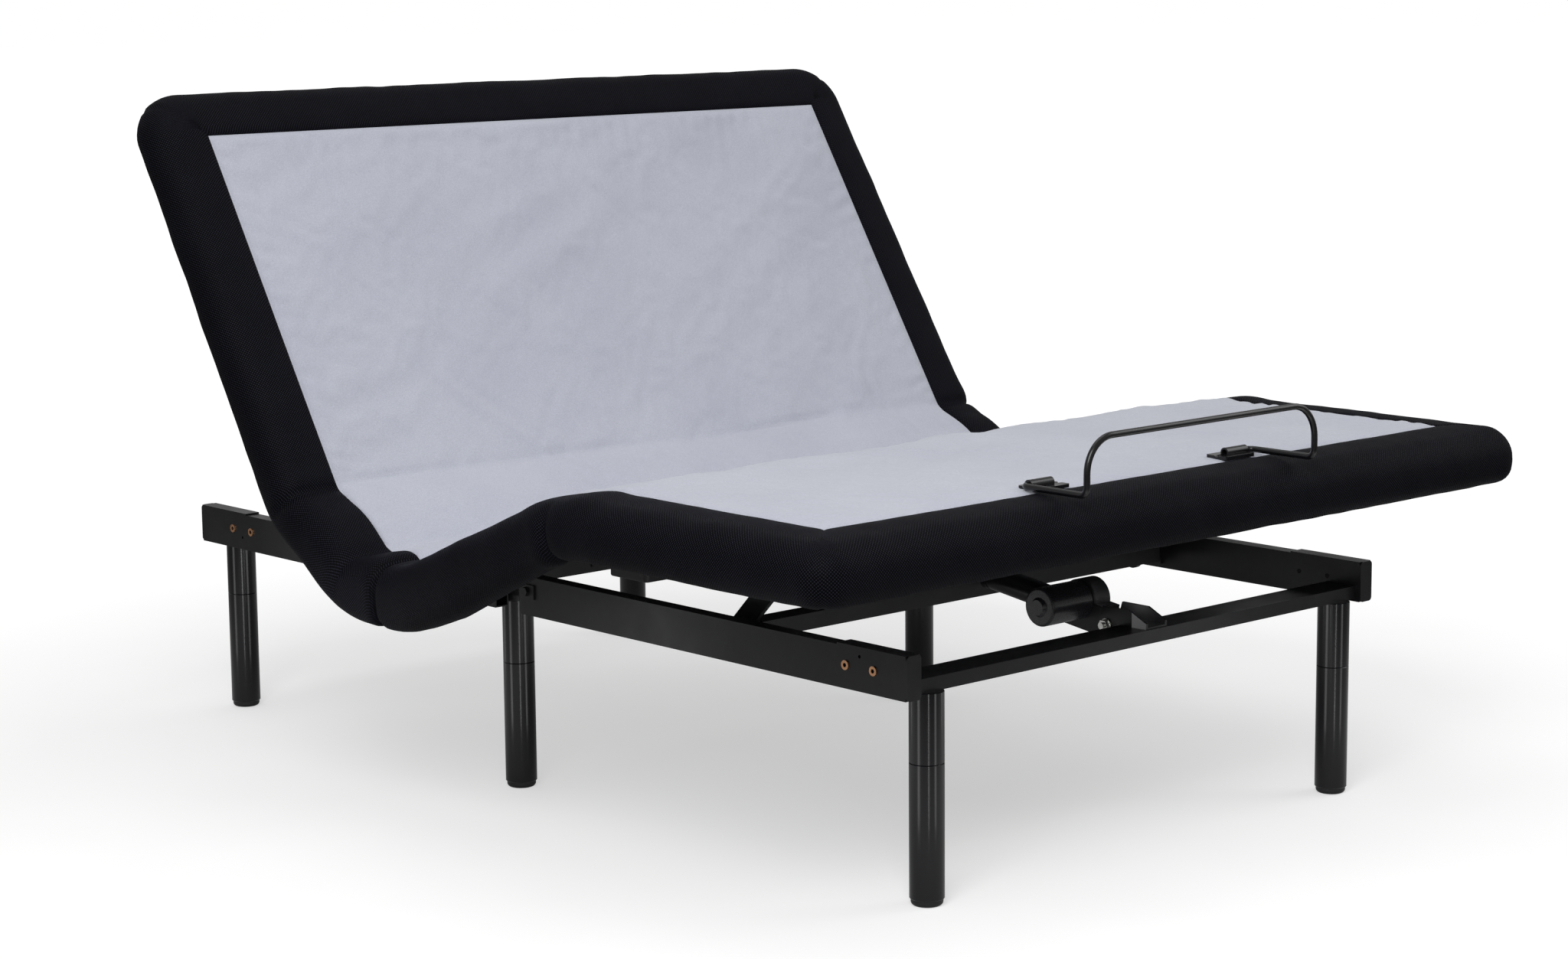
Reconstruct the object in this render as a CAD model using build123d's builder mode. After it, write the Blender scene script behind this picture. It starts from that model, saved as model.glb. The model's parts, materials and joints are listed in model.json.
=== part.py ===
from build123d import *
import math
import os

os.makedirs("parts", exist_ok=True)

# An adjustable bed base in its raised pose: head end towards +Y, foot end towards -Y.
# Lengths are millimetres. Lengths along the bed are measured from the foot end of the side rails.

# The frame's length drives the lengths along the bed, each by its share of it
frame_length = 1768

# Deck panels, measured along the deck from hinge to hinge
deck_width = 1524
seat_length = 126
thigh_length = frame_length * 0.234163
foot_panel_length = frame_length * 0.325226
lumbar_length = frame_length * 0.100113
back_length = frame_length * 0.418552
seat_start = frame_length * 0.483597
thigh_angle = 22.5
lumbar_angle = 31
back_angle = 58

# Deck build-up, measured up from the line of the hinge pins
hinge_height = 380
board_rise = 6
board_thickness = 14
pad_thickness = 6
border_depth = 93
thigh_border_extra = 12
border_band = 98
skirt_thickness = 50
border_top_radius = 42
border_bottom_radius = 36
deck_corner_radius = 62
joint_gap = 9
knee_gap = 2
knee_board_gap = 45
split_gap = 4
soft_clearance = 0.3

# Steel frame
frame_width = 1016
rail_height = 61
rail_width = 25
rail_wall = 2
rail_below_hinges = 78
rail_bottom = hinge_height - rail_below_hinges
rail_split_from_seat = 5
rail_split_gap = 62
rail_split_foot = seat_start + rail_split_from_seat
rail_split_head = rail_split_foot + rail_split_gap
corner_bracket_wall = 2.5
corner_bracket_length = 140
end_plate_thickness = 3
end_plate_radius = 6
cross_rail_depth = 56
cross_rail_height = 20.5
cross_rail_wall = 2
cross_rail_inset = 12
cross_rail_lift = 4
mid_tube_width = 40
mid_tube_height = 40
mid_tube_wall = 2.5
mid_tube_from_seat = 11
mid_tube_spacing = 60
foot_mid_tube_start = seat_start + mid_tube_from_seat
head_mid_tube_start = foot_mid_tube_start + mid_tube_spacing
splice_lap_foot = 60
splice_lap_head = 54
splice_start = rail_split_foot - splice_lap_foot
splice_end = rail_split_head + splice_lap_head
splice_height = 38
splice_thickness = 6
splice_below_top = 4
splice_bolt_inset = 21
splice_bolt_shank = 8
splice_plate = (36, 22, 3)
hex_head_across_flats = 13
hex_head_height = 5
rail_bolt_shank = 8
bolt_clearance = 0.2
rail_bolt_height = rail_bottom + 33.7
foot_bolts_from_end = (66, 122)
head_bolts_from_end = (100, 156)
small_hole_diameter = 5
foot_small_hole_height = rail_bottom + 49.6
head_small_hole_height = rail_bottom + 20.6
sleeve_nut_head = 14
sleeve_nut_proud = 2
socket_across_flats = 6
socket_depth = 6

# Legs
leg_diameter = 50
leg_wall = 2
leg_row_inset = 62
leg_row_x = frame_width / 2 - leg_row_inset
leg_end_inset = leg_diameter / 2
upper_leg_length = 102
leg_seam_groove = 0.8
leg_cap = 3
leg_stud_diameter = 10
glide_height = 10
glide_diameter = 46
glide_radius = 6
glide_plug_length = 14
collar_diameter = 54
upper_stud_length = 14
lower_stud_length = 20

# Lift frames
arm_inset = 65
arm_outer_x = frame_width / 2 - arm_inset
arm_thickness = 8
arm_width = 34
pivot_above_rail_bottom = 20
pivot_height = rail_bottom + pivot_above_rail_bottom
foot_pivot_y = frame_length * 0.246041
head_pivot_from_hinge = frame_length * 0.07862
foot_arm_angle = 45
head_arm_angle = 65.6
foot_roller_clearance = 0.1
head_roller_clearance = 0.7
crossbar_height = 25
crossbar_depth = 40
crossbar_wall = 2
crossbar_forward = 20
roller_diameter = 36
roller_width = 22
roller_pin_diameter = 12
pivot_pin_diameter = 16
pivot_plate_width = 50
pivot_plate_height = 46
pivot_plate_thickness = 5
running_clearance = 0.05
side_clearance = 0.4

# Linear actuators
actuator_x = 19
tail_inset = 93
tail_above_rail_bottom = 21
tail_height = rail_bottom + tail_above_rail_bottom
tail_gap = 38
tail_ear_thickness = 4
tail_pin_diameter = 10
bracket_foot_height = 9
bracket_slope = 34
bracket_shoulder = 25
bracket_nose = 14
bracket_nose_rise = 6
bracket_nose_drop = 8
bracket_floor = 3
clevis_washer_radius = 10
clevis_washer_thickness = 2
clevis_hex_flats = 16
clevis_head_height = 7
clevis_nut_height = 6
clevis_bolt_tail = 13
motor_diameter = 59
motor_length = 86
motor_forward = 64
motor_rise = 21
motor_edge_radius = 4
motor_boss_diameter = 30
motor_boss_height = 5
motor_boss_taper = 35
gear_wall = 1.5
tail_eye_diameter = 26
tail_eye_width = 30
tube_cap_length = 14
lever_pin_end = 3
gear_width = 36
gear_start = 14
outer_tube_diameter = 38
outer_tube_inner = 24
tube_bush_length = 22
tube_cap_step = 1
tube_cap_chamfer = 2
foot_outer_tube_end = frame_length * 0.152715
head_outer_tube_end = frame_length * 0.265837
rod_diameter = 20
rod_eye_width = 22
rod_engagement_start = 60
rod_eye_diameter = 24
lever_radius = 48
foot_lever_angle = 88
head_lever_angle = 80
lever_plate_thickness = 5
lever_margin = 15
lever_slot_out = 3
lever_slot_in = 7
lever_slot_play = 1.6
lever_pin_diameter = 10

# Panel hinges
hinge_inset = 148
hinge_x = frame_width / 2 - hinge_inset
hinge_plate_thickness = 5
hinge_eye_radius = 10
hinge_pin_diameter = 10
hinge_foot_length = 72
hinge_flange_width = 26
hinge_flange_thickness = 3
hinge_carrier_height = 32

# Mattress retainer bar
retainer_rod_diameter = 9.5
retainer_x = -24
retainer_half_width = 246
retainer_overhang = 12.5
retainer_height = 80
retainer_bend_radius = 50
retainer_elbow_radius = 12
sleeve_y = 12
sleeve_diameter = 15
sleeve_length = 46
sleeve_lift = 0.1
sleeve_clearance = 0.1
sleeve_base = (64, 42, 5)
sleeve_base_radius = 4
rod_end_in_sleeve = 34

# Control box under the seat
control_box_size = (190, 96, 34)
control_box_x = -150
control_box_corner = 8
control_box_edge = 4

# Places worked out from the sizes above
thigh_rad = math.radians(thigh_angle)
lumbar_rad = math.radians(lumbar_angle)
back_rad = math.radians(back_angle)
foot_overhang = foot_panel_length + thigh_length * math.cos(thigh_rad) - seat_start
rail_foot_y = -(frame_length - foot_overhang - retainer_overhang) / 2


def along(distance):
    """Row Y of a distance measured from the foot end of the side rails."""
    return rail_foot_y + distance


half_width = deck_width / 2
grey_half = half_width - border_band
skirt_inner = half_width - skirt_thickness
board_top = board_rise + board_thickness
pad_top = board_top + pad_thickness
border_bottom = pad_top - border_depth
thigh_border_bottom = border_bottom - thigh_border_extra

seat_foot_hinge = (along(seat_start), hinge_height)
seat_head_hinge = (along(seat_start + seat_length), hinge_height)
knee_hinge = (
    seat_foot_hinge[0] - thigh_length * math.cos(thigh_rad),
    hinge_height + thigh_length * math.sin(thigh_rad),
)
crease_hinge = (
    seat_head_hinge[0] + lumbar_length * math.cos(lumbar_rad),
    hinge_height + lumbar_length * math.sin(lumbar_rad),
)


def panel_plane(hinge, angle):
    """Plane through a hinge line, turned about X so that its Z is the deck's normal there."""
    tilt = math.radians(angle)
    return Plane(origin=(0, hinge[0], hinge[1]), x_dir=(1, 0, 0), z_dir=(0, -math.sin(tilt), math.cos(tilt)))


seat_plane = panel_plane(seat_foot_hinge, 0)
thigh_plane = panel_plane(seat_foot_hinge, -thigh_angle)
foot_plane = panel_plane(knee_hinge, 0)
lumbar_plane = panel_plane(seat_head_hinge, lumbar_angle)
back_plane = panel_plane(crease_hinge, back_angle)

rail_outer = frame_width / 2
rail_inner = rail_outer - rail_width
bracket_inner = rail_inner - corner_bracket_wall
leg_top = rail_bottom + cross_rail_lift
leg_seam_height = leg_top - upper_leg_length
cross_rail_top = leg_top + cross_rail_height
board_underside = hinge_height + board_rise
mid_tube_top = board_underside
splice_inner = rail_inner - splice_thickness
leg_middle_y = head_mid_tube_start + mid_tube_width / 2
foot_pivot = (along(foot_pivot_y), pivot_height)
head_pivot = (seat_head_hinge[0] + head_pivot_from_hinge, pivot_height)
foot_tail = (along(tail_inset), tail_height)
head_tail = (along(frame_length - tail_inset), tail_height)


def side_plane(plane, x):
    """A panel's side view at x: sketch X runs along the panel towards the head, sketch Y up its normal."""
    return Plane(origin=plane.origin + plane.x_dir * x, x_dir=plane.y_dir, z_dir=plane.x_dir)


def world_side_plane(x):
    """The bed's side view at x: sketch X is row Y, sketch Y is row Z."""
    return Plane(origin=(x, 0, 0), x_dir=(0, 1, 0), z_dir=(1, 0, 0))


def save(context, label):
    context.part.label = label
    export_step(context.part, f"parts/{label}.step")


# Side rails: rectangular tube, with the bolt holes in the outer wall
def side_rail(label, side, start, end, hole_positions, hole_height, small_hole):
    x_mid = side * (rail_outer - rail_width / 2)
    with BuildPart() as rail:
        with BuildSketch(Plane.XZ.offset(-along(start))):
            with Locations((x_mid, rail_bottom + rail_height / 2)):
                Rectangle(rail_width, rail_height)
                Rectangle(rail_width - 2 * rail_wall, rail_height - 2 * rail_wall, mode=Mode.SUBTRACT)
        extrude(amount=-(end - start))
        outer_wall = Plane(origin=(side * rail_outer, 0, 0), x_dir=(0, 1, 0), z_dir=(1, 0, 0))
        with BuildSketch(outer_wall):
            with Locations(*[(along(y), hole_height) for y in hole_positions]):
                Circle(rail_bolt_shank / 2 + bolt_clearance)
        extrude(amount=-side * (rail_width + 1), mode=Mode.SUBTRACT)
        with BuildSketch(outer_wall):
            with Locations((along(small_hole[0]), small_hole[1])):
                Circle(small_hole_diameter / 2)
        extrude(amount=-side * (rail_wall + 1), mode=Mode.SUBTRACT)
        with BuildSketch(outer_wall):
            with Locations(*[(along(y), splice_mid_height) for y in splice_bolts if start < y < end]):
                Circle(splice_bolt_shank / 2 + bolt_clearance)
        extrude(amount=-side * (rail_width + 1), mode=Mode.SUBTRACT)
    save(rail, label)


splice_mid_height = rail_bottom + rail_height - splice_below_top - splice_height / 2
splice_bolts = (rail_split_foot - splice_bolt_inset, rail_split_head + splice_bolt_inset)
foot_bolt_y = foot_bolts_from_end
head_bolt_y = tuple(frame_length - d for d in head_bolts_from_end)
foot_small_hole = (sum(foot_bolt_y) / 2, foot_small_hole_height)
head_small_hole = (sum(head_bolt_y) / 2, head_small_hole_height)

for side, side_name in ((-1, "left"), (1, "right")):
    side_rail(
        f"side_rail_foot_{side_name}", side, end_plate_thickness, rail_split_foot,
        foot_bolt_y, rail_bolt_height, foot_small_hole,
    )
    side_rail(
        f"side_rail_head_{side_name}", side, rail_split_head, frame_length - end_plate_thickness,
        head_bolt_y, rail_bolt_height, head_small_hole,
    )

# Corner brackets: folded sheet over the inner face, the top and the end of each rail
bracket_height = rail_height + corner_bracket_wall
with BuildPart() as rail_corner_brackets:
    for end_y, inward in ((along(0), 1), (along(frame_length), -1)):
        near, far = end_y + inward * end_plate_thickness, end_y + inward * corner_bracket_length
        bolts = foot_bolt_y if inward > 0 else head_bolt_y
        for side in (-1, 1):
            with BuildSketch(Plane.XZ.offset(-near)):
                with BuildLine():
                    Polyline(
                        (side * bracket_inner, rail_bottom),
                        (side * bracket_inner, rail_bottom + bracket_height),
                        (side * rail_outer, rail_bottom + bracket_height),
                        (side * rail_outer, rail_bottom + rail_height),
                        (side * rail_inner, rail_bottom + rail_height),
                        (side * rail_inner, rail_bottom),
                        close=True,
                    )
                make_face()
            extrude(amount=-(far - near))
            with BuildSketch(Plane.XZ.offset(-end_y)):
                with Locations((side * (rail_outer + bracket_inner) / 2, rail_bottom + bracket_height / 2)):
                    RectangleRounded(rail_outer - bracket_inner, bracket_height, end_plate_radius)
            extrude(amount=-(near - end_y))
            with BuildSketch(world_side_plane(side * bracket_inner)):
                with Locations(*[(along(y), rail_bolt_height) for y in bolts]):
                    Circle(rail_bolt_shank / 2 + bolt_clearance)
            extrude(amount=side * corner_bracket_wall, mode=Mode.SUBTRACT)
save(rail_corner_brackets, "rail_corner_brackets")

# Brass sleeve nuts with a hexagon socket, on the outer face of the rails
with BuildPart() as rail_bolts:
    for side in (-1, 1):
        outward = Plane(origin=(side * rail_outer, 0, 0), x_dir=(0, side, 0), z_dir=(side, 0, 0))
        places = [(side * along(y), rail_bolt_height) for y in foot_bolt_y + head_bolt_y]
        with BuildSketch(outward):
            with Locations(*places):
                Circle(sleeve_nut_head / 2)
        extrude(amount=sleeve_nut_proud)
        with BuildSketch(outward):
            with Locations(*places):
                Circle(rail_bolt_shank / 2)
        extrude(amount=-(rail_width + corner_bracket_wall))
        with BuildSketch(outward.offset(sleeve_nut_proud)):
            with Locations(*places):
                RegularPolygon(socket_across_flats / 2, 6, major_radius=False)
        extrude(amount=-socket_depth, mode=Mode.SUBTRACT)
save(rail_bolts, "rail_bolts")


# Cross rails at both ends: flat tube over the legs
def end_cross_rail(label, front_y, leg_y):
    with BuildPart() as rail:
        with BuildSketch(Plane.YZ.offset(-bracket_inner)):
            with Locations((front_y + cross_rail_depth / 2, leg_top + cross_rail_height / 2)):
                Rectangle(cross_rail_depth, cross_rail_height)
                Rectangle(
                    cross_rail_depth - 2 * cross_rail_wall,
                    cross_rail_height - 2 * cross_rail_wall,
                    mode=Mode.SUBTRACT,
                )
        extrude(amount=2 * bracket_inner)
        with BuildSketch(Plane.XY.offset(leg_top)):
            with Locations((-leg_row_x, leg_y), (leg_row_x, leg_y)):
                Circle(leg_stud_diameter / 2 + bolt_clearance)
        extrude(amount=cross_rail_wall, mode=Mode.SUBTRACT)
    save(rail, label)


foot_leg_y = along(leg_end_inset)
head_leg_y = along(frame_length - leg_end_inset)
mid_leg_y = along(leg_middle_y)
foot_cross_y = along(cross_rail_inset)
head_cross_y = along(frame_length - cross_rail_inset - cross_rail_depth)
end_cross_rail("foot_cross_rail", foot_cross_y, foot_leg_y)
end_cross_rail("head_cross_rail", head_cross_y, head_leg_y)


# Cross tubes under the seat, one for each half of the frame
def mid_tube(label, start, with_collars):
    bottom = mid_tube_top - mid_tube_height
    with BuildPart() as tube:
        with BuildSketch(Plane.YZ.offset(-splice_inner)):
            with Locations((along(start) + mid_tube_width / 2, bottom + mid_tube_height / 2)):
                Rectangle(mid_tube_width, mid_tube_height)
                Rectangle(
                    mid_tube_width - 2 * mid_tube_wall,
                    mid_tube_height - 2 * mid_tube_wall,
                    mode=Mode.SUBTRACT,
                )
        extrude(amount=2 * splice_inner)
        if with_collars:
            with BuildSketch(Plane.XY.offset(leg_top)):
                with Locations((-leg_row_x, mid_leg_y), (leg_row_x, mid_leg_y)):
                    Circle(collar_diameter / 2)
                    Circle(leg_stud_diameter / 2 + bolt_clearance, mode=Mode.SUBTRACT)
            extrude(amount=bottom - leg_top)
    save(tube, label)


mid_tube("foot_mid_cross_tube", foot_mid_tube_start, False)
mid_tube("head_mid_cross_tube", head_mid_tube_start, True)

# Splice bars that join the two halves of the frame, with their bolts
with BuildPart() as rail_splices:
    for side in (-1, 1):
        inward = Plane(origin=(side * rail_inner, 0, 0), x_dir=(0, 1, 0), z_dir=(1, 0, 0))
        with BuildSketch(inward):
            with Locations((along((splice_start + splice_end) / 2), splice_mid_height)):
                Rectangle(splice_end - splice_start, splice_height)
            with Locations(*[(along(y), splice_mid_height) for y in splice_bolts]):
                Circle(splice_bolt_shank / 2 + bolt_clearance, mode=Mode.SUBTRACT)
        extrude(amount=-side * splice_thickness)
save(rail_splices, "rail_splices")

with BuildPart() as splice_bolt_set:
    for side in (-1, 1):
        outward = Plane(origin=(side * rail_outer, 0, 0), x_dir=(0, side, 0), z_dir=(side, 0, 0))
        places = [(side * along(y), splice_mid_height) for y in splice_bolts]
        with BuildSketch(outward):
            with Locations(*places):
                Rectangle(splice_plate[0], splice_plate[1])
        extrude(amount=splice_plate[2])
        with BuildSketch(outward.offset(splice_plate[2])):
            with Locations(*places):
                RegularPolygon(hex_head_across_flats / 2, 6, major_radius=False)
        extrude(amount=hex_head_height)
        with BuildSketch(outward):
            with Locations(*places):
                Circle(splice_bolt_shank / 2)
        extrude(amount=-(rail_width + splice_thickness))
save(splice_bolt_set, "splice_bolts")

# Six legs: an upper section, a longer lower section and a moulded glide
leg_places = {
    "foot_left": (-leg_row_x, foot_leg_y),
    "foot_right": (leg_row_x, foot_leg_y),
    "middle_left": (-leg_row_x, mid_leg_y),
    "middle_right": (leg_row_x, mid_leg_y),
    "head_left": (-leg_row_x, head_leg_y),
    "head_right": (leg_row_x, head_leg_y),
}


def leg_section(places, bottom, top, stud_length, open_bottom, socket):
    """Revolved tube with a closed top, a stud above it and a groove at the seam."""
    outer = leg_diameter / 2
    inner = outer - leg_wall
    stud = leg_stud_diameter / 2
    chamfer_size = leg_seam_groove
    with BuildPart() as section:
        for x, y in places:
            with BuildSketch(Plane(origin=(x, y, 0), x_dir=(1, 0, 0), z_dir=(0, -1, 0))):
                with BuildLine():
                    points = [(0, top + stud_length), (stud, top + stud_length), (stud, top)]
                    points += [(outer - chamfer_size, top), (outer, top - chamfer_size)]
                    points += [(outer, bottom + chamfer_size), (outer - chamfer_size, bottom)]
                    if open_bottom:
                        points += [(inner, bottom), (inner, top - leg_cap), (0, top - leg_cap)]
                    else:
                        points += [(socket, bottom), (socket, bottom + leg_cap), (inner, bottom + leg_cap)]
                        points += [(inner, top - leg_cap), (0, top - leg_cap)]
                    Polyline(*points, close=True)
                make_face()
            revolve(axis=Axis((x, y, 0), (0, 0, 1)))
    return section


upper_legs = leg_section(
    list(leg_places.values()), leg_seam_height, leg_top, upper_stud_length, False,
    leg_stud_diameter / 2 + bolt_clearance,
)
save(upper_legs, "leg_upper_sections")
for leg_name, place in leg_places.items():
    lower = leg_section([place], glide_height, leg_seam_height, lower_stud_length, True, 0)
    save(lower, f"leg_lower_{leg_name}")

with BuildPart() as leg_glides:
    plug_radius = leg_diameter / 2 - leg_wall
    with BuildSketch(Plane.XY):
        with Locations(*leg_places.values()):
            Circle(glide_diameter / 2)
    extrude(amount=glide_height)
    fillet(leg_glides.edges().group_by(Axis.Z)[0], glide_radius)
    with BuildSketch(Plane.XY.offset(glide_height)):
        with Locations(*leg_places.values()):
            Circle(plug_radius)
    extrude(amount=glide_plug_length)
save(leg_glides, "leg_glides")


# Upholstered deck: a board, a soft border and a top pad for each panel
def flat_slab(plane, bottom, thickness, half, start, end):
    """Slab across the bed on a panel's plane, from start to end along the panel."""
    with BuildPart() as slab:
        with BuildSketch(plane.offset(bottom)):
            with Locations((0, (start + end) / 2)):
                Rectangle(2 * half, abs(end - start))
        extrude(amount=thickness)
    return slab


def strip_outline(start, end, bottom, knee_at_start):
    """Side view of a border strip; the knee end leans back below the hinge line to clear the bend."""
    lean = -bottom * math.tan(thigh_rad / 2)
    if knee_at_start:
        low_start, low_end = start + lean, end
    else:
        low_start, low_end = start, end
    return [
        (start, pad_top), (end, pad_top), (end, 0),
        (low_end, bottom), (low_start, bottom), (start, 0),
    ]


def side_strips(plane, spans, bottom=border_bottom, knee_at_start=False):
    """Left and right border strips: a skirt outside the board and a thin band over its edge."""
    with BuildPart() as strips:
        for start, end in spans:
            outline = strip_outline(start, end, bottom, knee_at_start)
            with BuildPart(mode=Mode.PRIVATE) as one:
                with BuildSketch(side_plane(plane, grey_half)):
                    with BuildLine():
                        Polyline(*outline, close=True)
                    make_face()
                extrude(amount=border_band)
                outer = one.faces().sort_by(Axis.X)[-1]
                lengthways = outer.edges().filter_by(Axis(plane.origin, plane.y_dir))
                ranked = lengthways.sort_by(Axis(plane.origin, plane.z_dir))
                fillet(ranked[-1], border_top_radius)
                outer = one.faces().filter_by(Plane.YZ).sort_by(Axis.X)[-1]
                lengthways = outer.edges().filter_by(Axis(plane.origin, plane.y_dir))
                fillet(lengthways.sort_by(Axis(plane.origin, plane.z_dir))[0], border_bottom_radius)
                with BuildSketch(side_plane(plane, grey_half)):
                    with Locations(((start + end) / 2, (bottom + board_top) / 2)):
                        Rectangle(2 * (end - start), board_top - bottom)
                extrude(amount=skirt_inner - grey_half, mode=Mode.SUBTRACT)
            add(one.part)
        mirror(about=Plane.YZ)
    return strips


def end_border(plane, length, direction, knee_end):
    """U-shaped border round the free end of a panel, with rounded corners."""
    near = direction * (knee_gap if knee_end else joint_gap)
    far = direction * length
    inner_far = direction * (length - skirt_thickness)
    grey_far = direction * (length - border_band)
    up = Axis(plane.origin, plane.z_dir)
    lengthwise = Axis(plane.origin, plane.y_dir * direction)
    with BuildPart() as border:
        with BuildSketch(plane.offset(border_bottom)) as outline:
            with Locations((0, (near + far) / 2)):
                Rectangle(deck_width, abs(far - near))
            corners = outline.vertices().sort_by(lengthwise)[-2:]
            fillet(corners, deck_corner_radius)
        extrude(amount=border_depth)
        top_edges = border.faces().sort_by(up)[-1].edges().sort_by(lengthwise)[1:]
        fillet(top_edges, border_top_radius)
        bottom_edges = border.faces().sort_by(up)[0].edges().sort_by(lengthwise)[1:]
        fillet(bottom_edges, border_bottom_radius)
        with BuildSketch(plane.offset(border_bottom)):
            with Locations((0, (near - far + inner_far) / 2)):
                Rectangle(2 * skirt_inner, abs(inner_far - near + far))
        extrude(amount=board_top - border_bottom, mode=Mode.SUBTRACT)
        with BuildSketch(plane.offset(board_top)):
            with Locations((0, (near - far + grey_far) / 2)):
                Rectangle(2 * grey_half, abs(grey_far - near + far))
        extrude(amount=pad_thickness, mode=Mode.SUBTRACT)
        if knee_end:
            lean = -border_bottom * math.tan(thigh_rad / 2)
            low_corner = (near + direction * lean, border_bottom)
            with BuildSketch(side_plane(plane, -half_width)):
                with BuildLine():
                    Polyline((near, 0), (near, border_bottom), low_corner, close=True)
                make_face()
            extrude(amount=deck_width, mode=Mode.SUBTRACT)
    return border


pad_half = grey_half - soft_clearance
board_half = skirt_inner - soft_clearance
split_y = seat_length / 2
seat_spans = [
    (joint_gap, split_y - split_gap / 2),
    (split_y + split_gap / 2, seat_length - joint_gap),
]
with BuildPart() as seat_boards:
    with BuildSketch(seat_plane.offset(board_rise)):
        for start, end in seat_spans:
            with Locations((0, (start + end) / 2)):
                Rectangle(2 * board_half, end - start)
    extrude(amount=board_thickness)
save(seat_boards, "seat_boards")
with BuildPart() as seat_pads:
    with BuildSketch(seat_plane.offset(board_top)):
        for start, end in seat_spans:
            with Locations((0, (start + end) / 2)):
                Rectangle(2 * pad_half, end - start)
    extrude(amount=pad_thickness)
save(seat_pads, "seat_pads")
save(side_strips(seat_plane, seat_spans), "seat_border")

thigh_board_span = (-(thigh_length - knee_board_gap), -joint_gap)
thigh_span = (-(thigh_length - knee_gap), -joint_gap)
save(flat_slab(thigh_plane, board_rise, board_thickness, board_half, *thigh_board_span), "thigh_board")
save(flat_slab(thigh_plane, board_top, pad_thickness, pad_half, *thigh_span), "thigh_pad")
save(side_strips(thigh_plane, [thigh_span], thigh_border_bottom, True), "thigh_border")

lumbar_span = (joint_gap, lumbar_length - joint_gap)
save(flat_slab(lumbar_plane, board_rise, board_thickness, board_half, *lumbar_span), "lumbar_board")
save(flat_slab(lumbar_plane, board_top, pad_thickness, pad_half, *lumbar_span), "lumbar_pad")
save(side_strips(lumbar_plane, [lumbar_span]), "lumbar_border")

foot_board_span = (-(foot_panel_length - skirt_thickness - soft_clearance), -knee_board_gap)
foot_pad_span = (-(foot_panel_length - border_band - soft_clearance), -knee_gap)
save(flat_slab(foot_plane, board_rise, board_thickness, board_half, *foot_board_span), "foot_board")
save(flat_slab(foot_plane, board_top, pad_thickness, pad_half, *foot_pad_span), "foot_pad")
save(end_border(foot_plane, foot_panel_length, -1, True), "foot_border")

back_board_span = (joint_gap, back_length - skirt_thickness - soft_clearance)
back_pad_span = (joint_gap, back_length - border_band - soft_clearance)
save(flat_slab(back_plane, board_rise, board_thickness, board_half, *back_board_span), "back_board")
save(flat_slab(back_plane, board_top, pad_thickness, pad_half, *back_pad_span), "back_pad")
save(end_border(back_plane, back_length, 1, False), "back_border")


# Panel hinges: an eye plate on each side of every joint, with a pin through both
plate_step = hinge_plate_thickness + side_clearance
running_hole = hinge_pin_diameter + 2 * running_clearance
outer_plate_x = [-hinge_x - plate_step, hinge_x + side_clearance]
inner_plate_x = [-hinge_x, hinge_x - hinge_plate_thickness]


def hinge_leaves(label, joints):
    """Angle brackets under a panel's edges, each with an eye on the hinge line.

    joints holds (plane, direction, outer plates or not, with pins or not)."""
    with BuildPart() as leaves:
        for plane, direction, outer, pins in joints:
            hole = hinge_pin_diameter if pins else running_hole
            for x, side in zip(outer_plate_x if outer else inner_plate_x, (-1, 1)):
                with BuildSketch(side_plane(plane, x)):
                    Circle(hinge_eye_radius)
                    with Locations((direction * hinge_foot_length / 2, 0)):
                        Rectangle(hinge_foot_length, 2 * board_rise)
                    Circle(hole / 2, mode=Mode.SUBTRACT)
                extrude(amount=hinge_plate_thickness)
                sideways = side if outer else -side
                edge = x + (hinge_plate_thickness if sideways > 0 else 0)
                flange_start = direction * (2 * hinge_eye_radius)
                flange_end = direction * hinge_foot_length
                with BuildSketch(plane.offset(board_rise - hinge_flange_thickness)):
                    flange_middle = (flange_start + flange_end) / 2
                    with Locations((edge + sideways * hinge_flange_width / 2, flange_middle)):
                        Rectangle(hinge_flange_width, abs(flange_end - flange_start))
                extrude(amount=hinge_flange_thickness)
                if pins:
                    with BuildSketch(side_plane(plane, edge)):
                        Circle(hinge_pin_diameter / 2)
                    extrude(amount=-sideways * (plate_step + hinge_plate_thickness + side_clearance))
    save(leaves, label)


thigh_end_plane = panel_plane(knee_hinge, -thigh_angle)
lumbar_end_plane = panel_plane(crease_hinge, lumbar_angle)
hinge_leaves("thigh_hinge_leaves", [(thigh_plane, -1, True, False), (thigh_end_plane, 1, True, True)])
hinge_leaves("foot_panel_hinge_leaves", [(foot_plane, -1, False, False)])
hinge_leaves("lumbar_hinge_leaves", [(lumbar_plane, 1, True, False), (lumbar_end_plane, -1, True, True)])
hinge_leaves("back_hinge_leaves", [(back_plane, 1, False, False)])

# Seat hinge plates: welded to the outer faces of the two cross tubes, each with a hinge pin
with BuildPart() as seat_hinge_plates:
    for x, side in zip(inner_plate_x, (-1, 1)):
        for eye_y, tube_face in (
            (seat_foot_hinge[0], along(foot_mid_tube_start)),
            (seat_head_hinge[0], along(head_mid_tube_start + mid_tube_width)),
        ):
            with BuildSketch(world_side_plane(x)):
                with Locations((eye_y, hinge_height)):
                    Circle(hinge_eye_radius)
                with BuildLine():
                    Polyline(
                        (eye_y, hinge_height + board_rise), (tube_face, hinge_height + board_rise),
                        (tube_face, board_underside - hinge_carrier_height),
                        (eye_y, hinge_height - hinge_eye_radius), close=True,
                    )
                make_face()
            extrude(amount=hinge_plate_thickness)
            with BuildSketch(world_side_plane(x + (hinge_plate_thickness if side > 0 else 0))):
                with Locations((eye_y, hinge_height)):
                    Circle(hinge_pin_diameter / 2)
            extrude(amount=side * (plate_step + side_clearance))
save(seat_hinge_plates, "seat_hinge_plates")


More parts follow.
